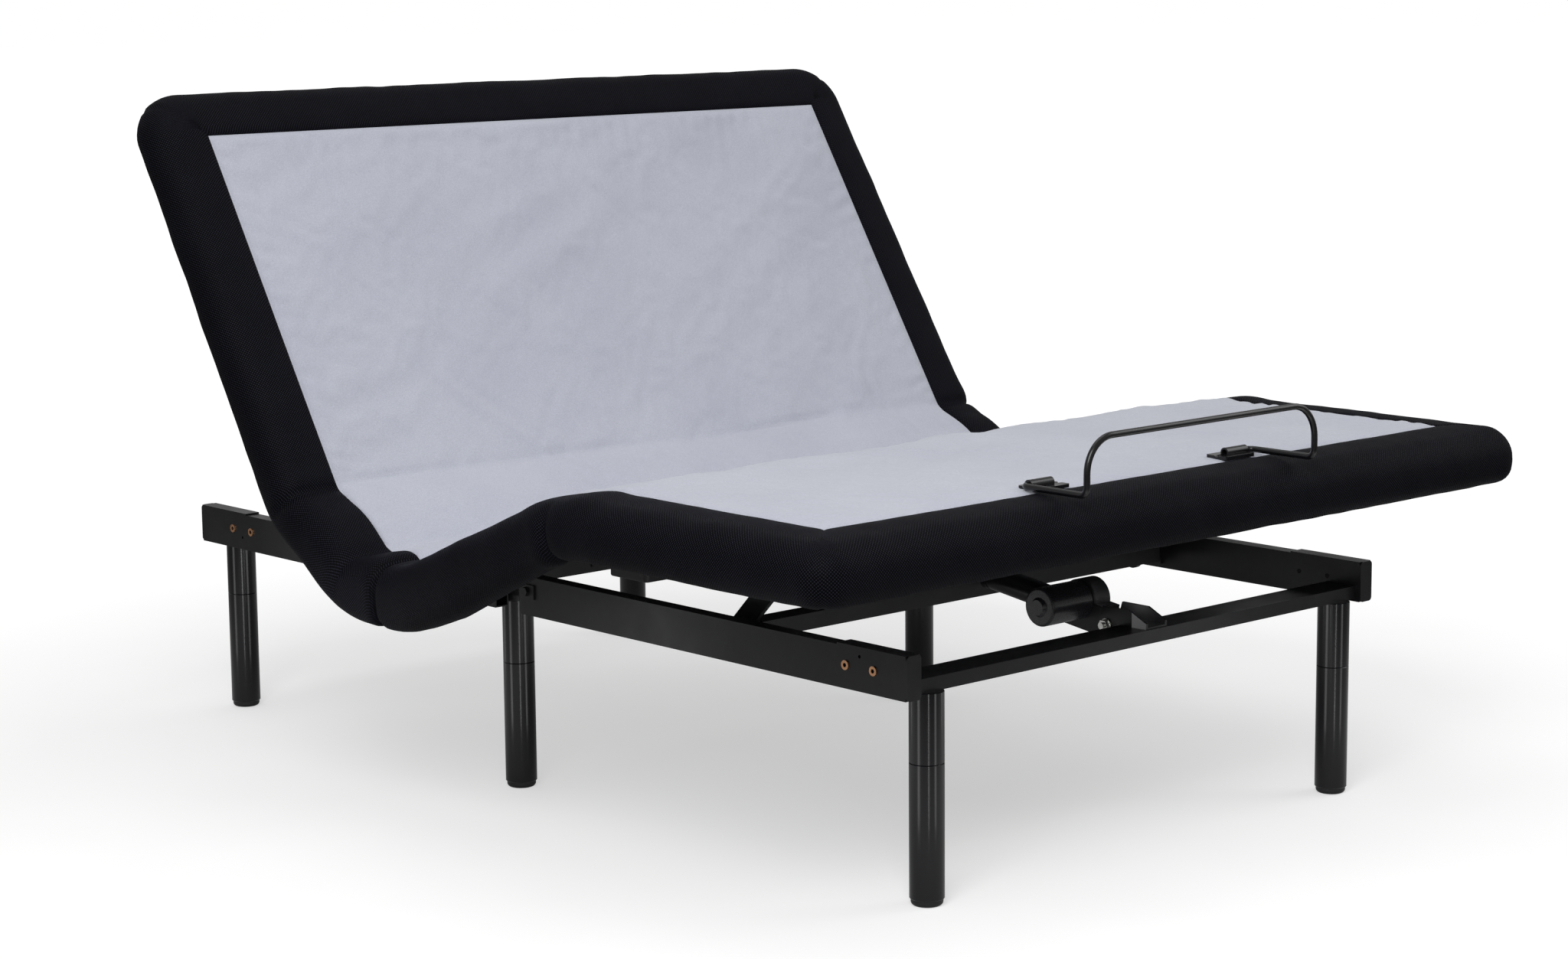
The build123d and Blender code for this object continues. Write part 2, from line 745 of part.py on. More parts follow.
# Lift frames: two arms and a crossbar welded together, with a slotted lever for the actuator
def rest_lever(pivot, tail, direction, lever_angle):
    """Lever pin at rest: the lever stands lever_angle off the line from tail pin to pivot."""
    towards = math.atan2(pivot[1] - tail[1], direction * (pivot[0] - tail[0]))
    angle = towards + math.radians(lever_angle)
    return (
        pivot[0] + direction * lever_radius * math.cos(angle),
        pivot[1] + lever_radius * math.sin(angle),
    )


foot_lever_pin = rest_lever(foot_pivot, foot_tail, 1, foot_lever_angle)
head_lever_pin = rest_lever(head_pivot, head_tail, -1, head_lever_angle)
under_board = board_rise - roller_diameter / 2
foot_arm_length = (
    (knee_hinge[1] + under_board - foot_roller_clearance - pivot_height)
    / math.sin(math.radians(foot_arm_angle))
)
# The head roller's centre lies under the back panel, which leans at back_angle
pivot_below_back = (
    math.cos(back_rad) * (crease_hinge[1] - head_pivot[1])
    - math.sin(back_rad) * (crease_hinge[0] - head_pivot[0])
)
head_arm_length = (
    (pivot_below_back + under_board - head_roller_clearance)
    / math.sin(math.radians(head_arm_angle) - back_rad)
)
foot_roller = (
    foot_pivot[0] - foot_arm_length * math.cos(math.radians(foot_arm_angle)),
    foot_pivot[1] + foot_arm_length * math.sin(math.radians(foot_arm_angle)),
)
head_roller = (
    head_pivot[0] + head_arm_length * math.cos(math.radians(head_arm_angle)),
    head_pivot[1] + head_arm_length * math.sin(math.radians(head_arm_angle)),
)


def lift_frame(label, pivot, roller, lever_pin, crossbar_side):
    """Arms from the pivot to the roller, the crossbar beside the pivot, and the lever plates."""
    arm_inner_x = arm_outer_x - arm_thickness
    bar_y = pivot[0] + crossbar_side * (crossbar_forward + crossbar_depth / 2)
    bar_z = pivot[1] + 2 + crossbar_height / 2
    dy, dz = roller[0] - pivot[0], roller[1] - pivot[1]
    length = math.hypot(dy, dz)
    tilt = math.degrees(math.atan2(dz, dy))
    lever_dy, lever_dz = lever_pin[0] - pivot[0], lever_pin[1] - pivot[1]
    lever_tilt = math.degrees(math.atan2(lever_dz, lever_dy))
    slot_middle = (lever_slot_out - lever_slot_in) / 2
    slot_width = lever_pin_diameter + 2 * lever_slot_play
    slot_length = lever_slot_out + lever_slot_in + slot_width
    gap_half = rod_eye_width / 2 + side_clearance
    with BuildPart() as frame:
        for x in (-arm_outer_x, arm_inner_x):
            with BuildSketch(world_side_plane(x)):
                with Locations(Location((pivot[0] + dy / 2, pivot[1] + dz / 2), tilt)):
                    SlotCenterToCenter(length, arm_width)
                with Locations(pivot):
                    Circle(pivot_pin_diameter / 2 + running_clearance, mode=Mode.SUBTRACT)
            extrude(amount=arm_thickness)
        with BuildSketch(Plane.YZ.offset(-arm_inner_x)):
            with Locations((bar_y, bar_z)):
                Rectangle(crossbar_depth, crossbar_height)
                Rectangle(
                    crossbar_depth - 2 * crossbar_wall,
                    crossbar_height - 2 * crossbar_wall,
                    mode=Mode.SUBTRACT,
                )
        extrude(amount=2 * arm_inner_x)
        for x in (-arm_outer_x, arm_outer_x):
            inward = 1 if x < 0 else -1
            with BuildSketch(world_side_plane(x + inward * arm_thickness)):
                with Locations(roller):
                    Circle(roller_pin_diameter / 2)
            extrude(amount=inward * (roller_width + 2 * side_clearance + 3))
        for x in (actuator_x - gap_half - lever_plate_thickness, actuator_x + gap_half):
            with BuildSketch(world_side_plane(x)):
                with BuildLine():
                    Polyline(
                        (bar_y - crossbar_side * crossbar_depth / 2, bar_z - crossbar_height / 2),
                        (bar_y + crossbar_side * crossbar_depth / 3, bar_z + crossbar_height / 2),
                        (lever_pin[0] + crossbar_side * lever_margin, lever_pin[1]),
                        (lever_pin[0] + crossbar_side * lever_margin, lever_pin[1] + lever_margin),
                        (lever_pin[0] - crossbar_side * lever_margin, lever_pin[1] + lever_margin),
                        (lever_pin[0] - crossbar_side * lever_margin, lever_pin[1] - lever_margin),
                        close=True,
                    )
                make_face()
                with Locations((bar_y, bar_z)):
                    Rectangle(crossbar_depth, crossbar_height, mode=Mode.SUBTRACT)
                with Locations(Location(
                    (
                        lever_pin[0] + slot_middle * math.cos(math.radians(lever_tilt)),
                        lever_pin[1] + slot_middle * math.sin(math.radians(lever_tilt)),
                    ),
                    lever_tilt,
                )):
                    SlotOverall(slot_length, slot_width, mode=Mode.SUBTRACT)
            extrude(amount=lever_plate_thickness)
    save(frame, label)


lift_frame("leg_lift_frame", foot_pivot, foot_roller, foot_lever_pin, -1)
lift_frame("head_lift_frame", head_pivot, head_roller, head_lever_pin, 1)


# Rollers at the ends of the arms
def rollers(label, centre):
    inner_x = arm_outer_x - arm_thickness - side_clearance
    with BuildPart() as pair:
        for x in (-inner_x, inner_x - roller_width):
            with BuildSketch(world_side_plane(x)):
                with Locations(centre):
                    Circle(roller_diameter / 2)
                    Circle(roller_pin_diameter / 2 + running_clearance, mode=Mode.SUBTRACT)
            extrude(amount=roller_width)
    save(pair, label)


rollers("leg_lift_rollers", foot_roller)
rollers("head_lift_rollers", head_roller)

# Pivot brackets: a plate on the inner face of each rail with a stub pin through the arm
with BuildPart() as lift_pivot_brackets:
    for pivot in (foot_pivot, head_pivot):
        for side in (-1, 1):
            plate_y = pivot[0]
            plate_z = rail_bottom + rail_height / 2
            with BuildSketch(world_side_plane(side * rail_inner)):
                with Locations((plate_y, plate_z)):
                    Rectangle(pivot_plate_width, pivot_plate_height)
            extrude(amount=-side * pivot_plate_thickness)
            with BuildSketch(world_side_plane(side * rail_inner)):
                with Locations(pivot):
                    Circle(pivot_pin_diameter / 2 + 4)
            extrude(amount=-side * (rail_inner - arm_outer_x - side_clearance))
            with BuildSketch(world_side_plane(side * rail_inner)):
                with Locations(pivot):
                    Circle(pivot_pin_diameter / 2)
            extrude(amount=-side * (rail_inner - arm_outer_x + arm_thickness + 3))
save(lift_pivot_brackets, "lift_pivot_brackets")


# Actuator brackets: two ears on the end cross rail
def actuator_bracket(label, tail, direction):
    """direction is +1 at the foot end and -1 at the head end."""
    front = tail[0] - direction * (tail_inset - cross_rail_inset - bracket_floor)
    back = tail[0] - direction * (tail_inset - cross_rail_inset - cross_rail_depth)
    nose = tail[0] + direction * bracket_nose
    shoulder = cross_rail_top + bracket_shoulder
    with BuildPart() as bracket:
        for x in (actuator_x - tail_gap / 2 - tail_ear_thickness, actuator_x + tail_gap / 2):
            with BuildSketch(world_side_plane(x)):
                with BuildLine():
                    Polyline(
                        (front, cross_rail_top), (front, cross_rail_top + bracket_foot_height),
                        (front + direction * bracket_slope, shoulder),
                        ((tail[0] + nose) / 2, shoulder),
                        (nose, tail[1] + bracket_nose_rise), (nose, tail[1] - bracket_nose_drop),
                        (tail[0], tail[1] - bracket_nose), (back, tail[1] - bracket_nose),
                        (back, cross_rail_top), close=True,
                    )
                make_face()
                with Locations(tail):
                    Circle(tail_pin_diameter / 2 + bolt_clearance, mode=Mode.SUBTRACT)
            extrude(amount=tail_ear_thickness)
        with BuildSketch(Plane.XY.offset(cross_rail_top)):
            with Locations((actuator_x, (front + back) / 2)):
                Rectangle(tail_gap, abs(back - front))
        extrude(amount=bracket_floor)
    save(bracket, label)


actuator_bracket("foot_actuator_bracket", foot_tail, 1)
actuator_bracket("head_actuator_bracket", head_tail, -1)

# Clevis bolts with nuts through the ears
bolt_grip = tail_gap + 2 * tail_ear_thickness
with BuildPart() as clevis_bolts:
    for tail in (foot_tail, head_tail):
        low_x = actuator_x - bolt_grip / 2
        high_x = actuator_x + bolt_grip / 2
        with BuildSketch(world_side_plane(low_x - clevis_bolt_tail)):
            with Locations(tail):
                Circle(tail_pin_diameter / 2)
        extrude(amount=bolt_grip + clevis_bolt_tail)
        with BuildSketch(world_side_plane(low_x)):
            with Locations(tail):
                Circle(clevis_washer_radius)
        extrude(amount=-clevis_washer_thickness)
        with BuildSketch(world_side_plane(low_x - clevis_washer_thickness)):
            with Locations(tail):
                RegularPolygon(clevis_hex_flats / 2, 6, major_radius=False)
        extrude(amount=-clevis_head_height)
        with BuildSketch(world_side_plane(high_x)):
            with Locations(tail):
                RegularPolygon(clevis_hex_flats / 2, 6, major_radius=False)
        extrude(amount=clevis_nut_height)
save(clevis_bolts, "actuator_clevis_bolts")


# Linear actuators: motor, gear housing with the tail eye, outer tube, and rod with its eye and pin
def actuator(prefix, tail, lever_pin, direction, tube_end):
    """direction is the sign of Y from the tail towards the lever."""
    reach = math.hypot(lever_pin[0] - tail[0], lever_pin[1] - tail[1])
    tilt = math.atan2(lever_pin[1] - tail[1], lever_pin[0] - tail[0])
    axis_dir = Vector(0, math.cos(tilt), math.sin(tilt))
    # Seen from the side: sketch X runs from the tail pin to the lever pin
    side_view = Plane(origin=(actuator_x, tail[0], tail[1]), x_dir=axis_dir, z_dir=(1, 0, 0))
    motor_y = motor_rise * direction
    gear_end = motor_forward + motor_diameter / 2 + gear_wall
    with BuildPart() as motor:
        with BuildSketch(side_view.offset(-gear_width / 2)):
            with Locations((motor_forward, motor_y)):
                Circle(motor_diameter / 2)
        extrude(amount=-motor_length)
        fillet(motor.edges().sort_by(Axis.X)[0], motor_edge_radius)
        with BuildSketch(side_view.offset(-gear_width / 2 - motor_length)):
            with Locations((motor_forward, motor_y)):
                Circle(motor_boss_diameter / 2)
        extrude(amount=-motor_boss_height, taper=motor_boss_taper)
    save(motor, f"{prefix}_motor")
    with BuildPart() as gear:
        with BuildSketch(side_view.offset(-gear_width / 2)):
            with Locations((motor_forward, motor_y)):
                Circle(motor_diameter / 2 + gear_wall)
            with Locations(((gear_start + gear_end) / 2, 0)):
                Rectangle(gear_end - gear_start, outer_tube_diameter + 6)
        extrude(amount=gear_width)
        with BuildSketch(side_view.offset(-tail_eye_width / 2)):
            Circle(tail_eye_diameter / 2)
            with Locations((tail_eye_diameter / 2, 0)):
                Rectangle(tail_eye_diameter, tail_eye_diameter * 0.8)
        extrude(amount=tail_eye_width)
        with BuildSketch(side_view.offset(-tail_eye_width)):
            Circle(tail_pin_diameter / 2 + running_clearance)
        extrude(amount=2 * tail_eye_width, mode=Mode.SUBTRACT)
    save(gear, f"{prefix}_gear_housing")
    with BuildPart() as tube:
        with BuildSketch(side_view):
            with BuildLine():
                outer = outer_tube_diameter / 2
                inner = outer_tube_inner / 2
                bush = rod_diameter / 2 + running_clearance
                Polyline(
                    (gear_end, inner), (gear_end, outer), (tube_end - tube_cap_length, outer),
                    (tube_end - tube_cap_length, outer + tube_cap_step),
                    (tube_end - tube_cap_chamfer, outer + tube_cap_step),
                    (tube_end, outer - tube_cap_step), (tube_end, bush), (tube_end - tube_bush_length, bush),
                    (tube_end - tube_bush_length, inner), close=True,
                )
            make_face()
        revolve(axis=Axis(side_view.origin, axis_dir))
    save(tube, f"{prefix}_actuator_tube")
    with BuildPart() as rod:
        rod_start = gear_end + rod_engagement_start
        rod_foot = side_view.origin + axis_dir * rod_start
        with BuildSketch(Plane(origin=rod_foot, x_dir=(1, 0, 0), z_dir=axis_dir)):
            Circle(rod_diameter / 2)
        extrude(amount=reach - rod_start)
        with BuildSketch(side_view.offset(-rod_eye_width / 2)):
            with Locations((reach, 0)):
                Circle(rod_eye_diameter / 2)
        extrude(amount=rod_eye_width)
        pin_length = rod_eye_width + 2 * (lever_plate_thickness + side_clearance + lever_pin_end)
        with BuildSketch(side_view.offset(-pin_length / 2)):
            with Locations((reach, 0)):
                Circle(lever_pin_diameter / 2)
        extrude(amount=pin_length)
    save(rod, f"{prefix}_actuator_rod")


actuator("foot", foot_tail, foot_lever_pin, 1, foot_outer_tube_end)
actuator("head", head_tail, head_lever_pin, -1, head_outer_tube_end)

# Mattress retainer bar: its ends turn inwards into the sleeves of two moulded brackets
pad_surface = knee_hinge[1] + pad_top
rod_z = pad_surface + sleeve_lift + sleeve_diameter / 2
bar_top_z = rod_z + retainer_height
front_y = along(-foot_overhang - retainer_overhang + retainer_rod_diameter / 2)
bracket_y = along(sleeve_y)
left_x = retainer_x - retainer_half_width
right_x = retainer_x + retainer_half_width
with BuildPart() as retainer_bar:
    with BuildLine() as bar_path:
        FilletPolyline(
            (left_x + rod_end_in_sleeve, bracket_y, rod_z),
            (left_x, bracket_y, rod_z),
            (left_x, front_y, rod_z),
            (left_x, front_y, bar_top_z),
            (right_x, front_y, bar_top_z),
            (right_x, front_y, rod_z),
            (right_x, bracket_y, rod_z),
            (right_x - rod_end_in_sleeve, bracket_y, rod_z),
            radius=(
                retainer_elbow_radius, retainer_elbow_radius, retainer_bend_radius,
                retainer_bend_radius, retainer_elbow_radius, retainer_elbow_radius,
            ),
        )
    with BuildSketch(Plane.YZ.offset(left_x + rod_end_in_sleeve)):
        with Locations((bracket_y, rod_z)):
            Circle(retainer_rod_diameter / 2)
    sweep(path=bar_path.wires()[0])
save(retainer_bar, "retainer_bar")

with BuildPart() as retainer_brackets:
    for side in (-1, 1):
        sleeve_x = retainer_x + side * (retainer_half_width - retainer_elbow_radius - sleeve_length / 2)
        with BuildSketch(Plane.XY.offset(pad_surface)):
            with Locations((sleeve_x - side * (sleeve_base[0] - sleeve_length) / 2, bracket_y)):
                RectangleRounded(sleeve_base[0], sleeve_base[1], sleeve_base_radius)
        extrude(amount=sleeve_base[2])
        with BuildSketch(Plane.YZ.offset(sleeve_x - sleeve_length / 2)):
            with Locations((bracket_y, rod_z)):
                Circle(sleeve_diameter / 2)
        extrude(amount=sleeve_length)
        with BuildSketch(Plane.YZ.offset(sleeve_x - sleeve_base[0])):
            with Locations((bracket_y, rod_z)):
                Circle(retainer_rod_diameter / 2 + sleeve_clearance)
        extrude(amount=2 * sleeve_base[0], mode=Mode.SUBTRACT)
save(retainer_brackets, "retainer_brackets")

# Control box hung from the two cross tubes under the seat
with BuildPart() as control_box:
    box_top = mid_tube_top - mid_tube_height
    box_y = along((foot_mid_tube_start + head_mid_tube_start + mid_tube_width) / 2)
    with BuildSketch(Plane.XY.offset(box_top)):
        with Locations((control_box_x, box_y)):
            RectangleRounded(control_box_size[0], control_box_size[1], control_box_corner)
    extrude(amount=-control_box_size[2])
    fillet(control_box.edges().group_by(Axis.Z)[0], control_box_edge)
save(control_box, "control_box")
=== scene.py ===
import json
import math

import bmesh
import bpy
import numpy as np
from mathutils import Matrix, Vector


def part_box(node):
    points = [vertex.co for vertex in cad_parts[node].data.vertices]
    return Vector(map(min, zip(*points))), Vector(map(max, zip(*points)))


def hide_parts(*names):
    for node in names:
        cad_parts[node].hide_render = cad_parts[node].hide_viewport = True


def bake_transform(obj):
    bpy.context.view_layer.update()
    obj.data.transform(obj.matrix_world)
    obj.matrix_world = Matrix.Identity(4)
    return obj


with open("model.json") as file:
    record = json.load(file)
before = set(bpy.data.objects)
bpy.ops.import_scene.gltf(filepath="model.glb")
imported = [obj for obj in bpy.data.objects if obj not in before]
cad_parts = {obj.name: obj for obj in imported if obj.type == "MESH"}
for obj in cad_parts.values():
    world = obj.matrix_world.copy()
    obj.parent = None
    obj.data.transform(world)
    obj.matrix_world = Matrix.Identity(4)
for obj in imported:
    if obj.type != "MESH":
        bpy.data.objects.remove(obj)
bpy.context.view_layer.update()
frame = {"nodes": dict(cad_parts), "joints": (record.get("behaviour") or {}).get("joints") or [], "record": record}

MM = 0.001

# The deck's line in the side view, from the foot end to the head end, in millimetres. Its points
# are (Y, Z); s is a distance along it, h a height above it, x a place across the deck.
joint_of = {joint["name"]: joint for joint in frame["joints"]}


def hinge(name):
    """A joint's place in the side view."""
    place = joint_of[name]["pos_m"]
    return np.array((place[1], place[2])) / MM


HINGES = [hinge(name) for name in ("foot_panel_level", "leg_lift", "head_lift", "back_tilt")]
FOOT_PANEL = 575.0
BACK = 740.0
BACK_ANGLE = math.radians(58)
FOOT_END = HINGES[0] - np.array((FOOT_PANEL, 0.0))
HEAD_END = HINGES[-1] + BACK * np.array((math.cos(BACK_ANGLE), math.sin(BACK_ANGLE)))
LINE = [FOOT_END, *HINGES, HEAD_END]
RUN = [float(np.linalg.norm(b - a)) for a, b in zip(LINE, LINE[1:])]
AT = np.concatenate(([0.0], np.cumsum(RUN)))
WAY = [(b - a) / np.linalg.norm(b - a) for a, b in zip(LINE, LINE[1:])]
UP = [np.array((-way[1], way[0])) for way in WAY]
# where each hinge and the head end stand in LINE and AT
KNEE, SEAT_FOOT, SEAT_HEAD, CREASE, END = range(1, 6)

# For each bend: half of the zone it takes, and how far its curve reaches from the corner at the
# border's bottom and at its top
BENDS = {KNEE: (118, 8, 84), SEAT_FOOT: (61, 66, 22), SEAT_HEAD: (61, 74, 24), CREASE: (60, 46, 7)}
LONGEST_REACH = 0.98  # of the straight run beside a bend

# The covers
HALF = 762.0  # half of the deck's width
GREY = 664.0  # half of the grey cover's width
BAND = HALF - GREY  # width of the mesh border
SKIRT = 50.0  # how far the border comes in under the deck
FOOT_CORNER = 52.0
HEAD_CORNER = 86.0
TOP = 26.0  # plain height of the covers' top
BOARD = 20.2  # height of the boards' top
TOP_ROUND = 36.0
BOTTOM_ROUND = 28.0
CROWN = 1.6  # how much the border's top bulges between its seam and its edge
NOSE = 15.0  # radius of a cover's closed end
GAP = 0.6  # from the split to each half of the covers
SPLIT = AT[SEAT_FOOT] + 41.0  # where the foot half and the head half of the covers meet
THIGH_CUT = (AT[KNEE] + AT[SEAT_FOOT]) / 2
LUMBAR_CUT = (AT[SEAT_HEAD] + AT[CREASE]) / 2
BORDER_STEP = 6.5
PAD_STEP = 7.5
ARC_STATIONS = 14


def bend(k, zone, past, h, reach):
    """Side view of points near hinge k: straight, then round an arc, then straight again.

    past is the distance past the hinge, within zone of it; reach is from the corner to the arc."""
    way_in, way_out, up_in, up_out = WAY[k - 1], WAY[k], UP[k - 1], UP[k]
    turn = math.atan2(way_in[0] * way_out[1] - way_in[1] * way_out[0], float(way_in @ way_out))
    corner = LINE[k] + h[:, None] * (up_in + up_out) / (1 + up_in @ up_out)
    run = zone - h * math.tan(turn / 2)
    reach = np.minimum(reach, run * LONGEST_REACH)
    radius = reach / math.tan(abs(turn) / 2)
    arc = radius * abs(turn)
    straight = run - reach
    place = (past + zone) / (2 * zone) * (2 * straight + arc)
    before = corner - (run - place)[:, None] * way_in
    angle = np.clip((place - straight) / radius, 0, abs(turn))
    on_arc = (
        corner - reach[:, None] * way_in
        + (radius * np.sin(angle))[:, None] * way_in
        + (math.copysign(1, turn) * radius * (1 - np.cos(angle)))[:, None] * up_in
    )
    after = corner + (reach + place - straight - arc)[:, None] * way_out
    past_arc = (place >= straight + arc)[:, None]
    return np.where((place < straight)[:, None], before, np.where(past_arc, after, on_arc))


def deck(s, h, q):
    """Side view (Y, Z) of points at s and h; q is 0 at the border's bottom and 1 at its top."""
    s, h, q = np.broadcast_arrays(np.asarray(s, float), np.asarray(h, float), np.asarray(q, float))
    out = np.empty(s.shape + (2,))
    part = np.clip(np.searchsorted(AT, s, side="right") - 1, 0, len(RUN) - 1)
    for k in range(len(RUN)):
        here = part == k
        out[here] = LINE[k] + (s[here] - AT[k])[:, None] * WAY[k] + h[here][:, None] * UP[k]
    for k, (zone, low, high) in BENDS.items():
        near = np.abs(s - AT[k]) < zone
        if near.any():
            reach = low + (high - low) * np.clip(q[near], 0, 1)
            out[near] = bend(k, zone, s[near] - AT[k], h[near], reach)
    return out


def bump(s, middle, half):
    """1 at the middle, falling smoothly to 0 at half away from it."""
    a = np.clip(np.abs(s - middle) / half, 0, 1)
    return np.cos(a * math.pi / 2) ** 2


def waves(x, s, seed, length, count=9):
    """Smooth seeded noise about -1 to 1 over the flat deck, its waves about length mm long."""
    rng = np.random.default_rng(seed)
    total = np.zeros(np.broadcast(x, s).shape)
    for _ in range(count):
        angle, phase = rng.uniform(0, math.pi), rng.uniform(0, 2 * math.pi)
        k = 2 * math.pi / (length * rng.uniform(0.7, 1.5))
        total = total + np.sin(k * (x * math.cos(angle) + s * math.sin(angle)) + phase)
    return total / math.sqrt(count)


def by_knots(s, knots):
    """A value at s from a table of (s, value)."""
    return np.interp(s, [at for at, _ in knots], [value for _, value in knots])


def knee_ends(s):
    """1 over the boards' ends on either side of the knee, 0 away from them."""
    return bump(s, AT[KNEE] - 52, 46) + bump(s, AT[KNEE] + 52, 46)


def top_of(s):
    """Height of the covers' top: fuller beside the knee, past the split and at the lumbar."""
    return (
        TOP + 2.6 * knee_ends(s) + 9 * bump(s, LUMBAR_CUT, 84)
        + 8 * bump(s, SPLIT + 30, 44) * (s > SPLIT) - 3 * bump(s, AT[SEAT_HEAD], 30)
    )


BOTTOM_KNOTS = [
    (0, -66), (AT[KNEE] - 20, -66), (AT[KNEE] + 60, -70), (AT[SEAT_FOOT] - 110, -84),
    (AT[SEAT_FOOT], -78), (SPLIT, -73), (AT[SEAT_HEAD], -69), (LUMBAR_CUT, -60),
    (AT[CREASE], -60), (AT[END], -50),
]
# how much lower than its seam the border's top is at its outer edge
SLOPE_KNOTS = [
    (0, 15), (AT[KNEE] - 150, 15), (AT[KNEE], 12), (AT[SEAT_HEAD], 8), (AT[CREASE], 6),
    (AT[END], 14),
]


def round_end(distance, radius):
    """How far a rounded end stands back from the full section at a distance from its tip."""
    d = np.clip(distance, 0, radius)
    return radius - np.sqrt(np.maximum(radius**2 - (radius - d) ** 2, 0))


def crease(s, at, pinch, swell):
    """A sharp tuck across the border at a place, between two soft swells."""
    away = np.abs(s - at)
    return swell * np.exp(-(((away - 26) / 17) ** 2)) - pinch * np.exp(-((away / 7.5) ** 2))


# Borders

# How the height of a section point counts: down from the top, up from the bottom, as a share of
# the way down the side, or from the deck's line
UNDER_TOP, OVER_BOTTOM, ON_SIDE, FIXED = range(4)
# the sewn seam's edge: (distance out from the seam, height)
SEAM = [(0, -5.2), (1.5, -3.4), (4, -1.6), (9, -0.5), (16, 0.2)]


def crown(depth):
    """The border's bulge at a depth in from the deck's edge."""
    return CROWN * math.sin(math.pi * (BAND - depth) / BAND)


def section():
    """The border's closed section, from the seam round the outside and back over the boards.

    Each point is its depth in from the deck's edge, its height, how that counts, and its way out
    of the foam."""
    points = [(BAND - out, height, UNDER_TOP, (0, 1)) for out, height in SEAM]
    for depth in np.linspace(BAND - 25, TOP_ROUND + 5, 5):
        points.append((depth, crown(depth), UNDER_TOP, (0, 1)))
    for angle in np.linspace(90, 180, 10):
        c, v = math.cos(math.radians(angle)), math.sin(math.radians(angle))
        depth = TOP_ROUND * (1 + c)
        points.append((depth, crown(depth) - TOP_ROUND * (1 - v), UNDER_TOP, (c, v)))
    for k in range(1, 8):
        points.append((0, k / 8, ON_SIDE, (-1, 0)))
    for angle in np.linspace(180, 270, 7):
        c, v = math.cos(math.radians(angle)), math.sin(math.radians(angle))
        points.append((BOTTOM_ROUND * (1 + c), BOTTOM_ROUND * (1 + v), OVER_BOTTOM, (c, v)))
    for depth in (30, 40, 47):
        points.append((depth, 0, OVER_BOTTOM, (0, -1)))
    return points + [
        (SKIRT - 0.8, 0.8, OVER_BOTTOM, (0.7, -0.7)),
        (SKIRT, 3, OVER_BOTTOM, (1, 0)),
        (SKIRT, 26, OVER_BOTTOM, (1, 0)),
        (SKIRT, BOARD - 14, FIXED, (1, 0)),
        (SKIRT, BOARD, FIXED, (0, 0)),
        (BAND - 20, BOARD, FIXED, (0, 0)),
        (BAND, BOARD, FIXED, (0, 0)),
    ]


DEPTH, OWN, KIND, OUT = (np.array(column) for column in zip(*section()))


def border_heights(ss):
    """Heights of the section's points at their places along the deck, and its top and bottom."""
    top, bottom, slope = top_of(ss), by_knots(ss, BOTTOM_KNOTS), by_knots(ss, SLOPE_KNOTS)
    side_high, side_low = top - (TOP_ROUND + slope), bottom + BOTTOM_ROUND
    h = np.where(KIND == UNDER_TOP, top + OWN - slope * ((BAND - DEPTH) / BAND) ** 2, OWN)
    h = np.where(KIND == OVER_BOTTOM, bottom + OWN, h)
    h = np.where(KIND == ON_SIDE, side_high + (side_low - side_high) * OWN, h)
    return h, top, bottom


def end_path(tip, side_from):
    """Stations of a border round one end of the deck: flat x and s of each section point, travel.

    The path goes from side_from on the left, round the end at tip, and back up the right side."""
    inward, corner = (1, FOOT_CORNER) if side_from > tip else (-1, HEAD_CORNER)
    # where the corner's round begins, for each section point, and its radius there
    core_x = HALF - np.maximum(corner, DEPTH)
    core_s = tip + inward * np.maximum(corner, DEPTH)
    radius = np.maximum(corner - DEPTH, 0)
    side = abs(side_from - tip) - corner
    quarter = corner * math.pi / 2
    width = 2 * (HALF - corner)
    on_side = max(2, round(side / BORDER_STEP))
    across = round(width / BORDER_STEP)
    rows = []
    for k in range(on_side):
        f = k / on_side
        rows.append((DEPTH - HALF, side_from + (core_s - side_from) * f, side * f))
    for k in range(ARC_STATIONS):
        f = k / ARC_STATIONS
        c, v = math.cos(math.pi / 2 * f), math.sin(math.pi / 2 * f)
        rows.append((-(core_x + radius * c), core_s - inward * radius * v, side + quarter * f))
    for k in range(across + 1):
        f = k / across
        x = -core_x + 2 * core_x * f
        rows.append((x, tip + inward * DEPTH, side + quarter + width * f))
    for k in range(1, ARC_STATIONS + 1):
        f = k / ARC_STATIONS
        c, v = math.cos(math.pi / 2 * (1 - f)), math.sin(math.pi / 2 * (1 - f))
        travel = side + quarter + width + quarter * f
        rows.append((core_x + radius * c, core_s - inward * radius * v, travel))
    for k in range(1, on_side + 1):
        f = k / on_side
        travel = side + 2 * quarter + width + side * f
        rows.append((HALF - DEPTH, core_s + (side_from - core_s) * f, travel))
    return tuple(np.array(column) for column in zip(*rows))


def side_path(side, start, end):
    """Stations of a straight border on one side, as end_path gives them."""
    n = max(2, round((end - start) / BORDER_STEP))
    ss = np.repeat(np.linspace(start, end, n + 1)[:, None], len(DEPTH), axis=1)
    xs = np.repeat((side * (HALF - DEPTH))[None, :], n + 1, axis=0)
    return xs, ss, ss[:, 0] - start


def plan_normal(xs, ss):
    """Unit vectors out of the deck's plan at the border's points, in flat (x, s)."""
    corner = np.where(ss < AT[END] / 2, FOOT_CORNER, HEAD_CORNER)
    vx = xs - np.clip(xs, corner - HALF, HALF - corner)
    vs = ss - np.clip(ss, FOOT_CORNER, AT[END] - HEAD_CORNER)
    size = np.hypot(vx, vs)
    # points inside the corners' rounds take the way out of the outermost point of their section
    outer = np.argmin(DEPTH)
    vx = np.where(size > 1e-6, vx, vx[:, outer : outer + 1])
    vs = np.where(size > 1e-6, vs, vs[:, outer : outer + 1])
    size = np.maximum(np.hypot(vx, vs), 1e-9)
    return vx / size, vs / size


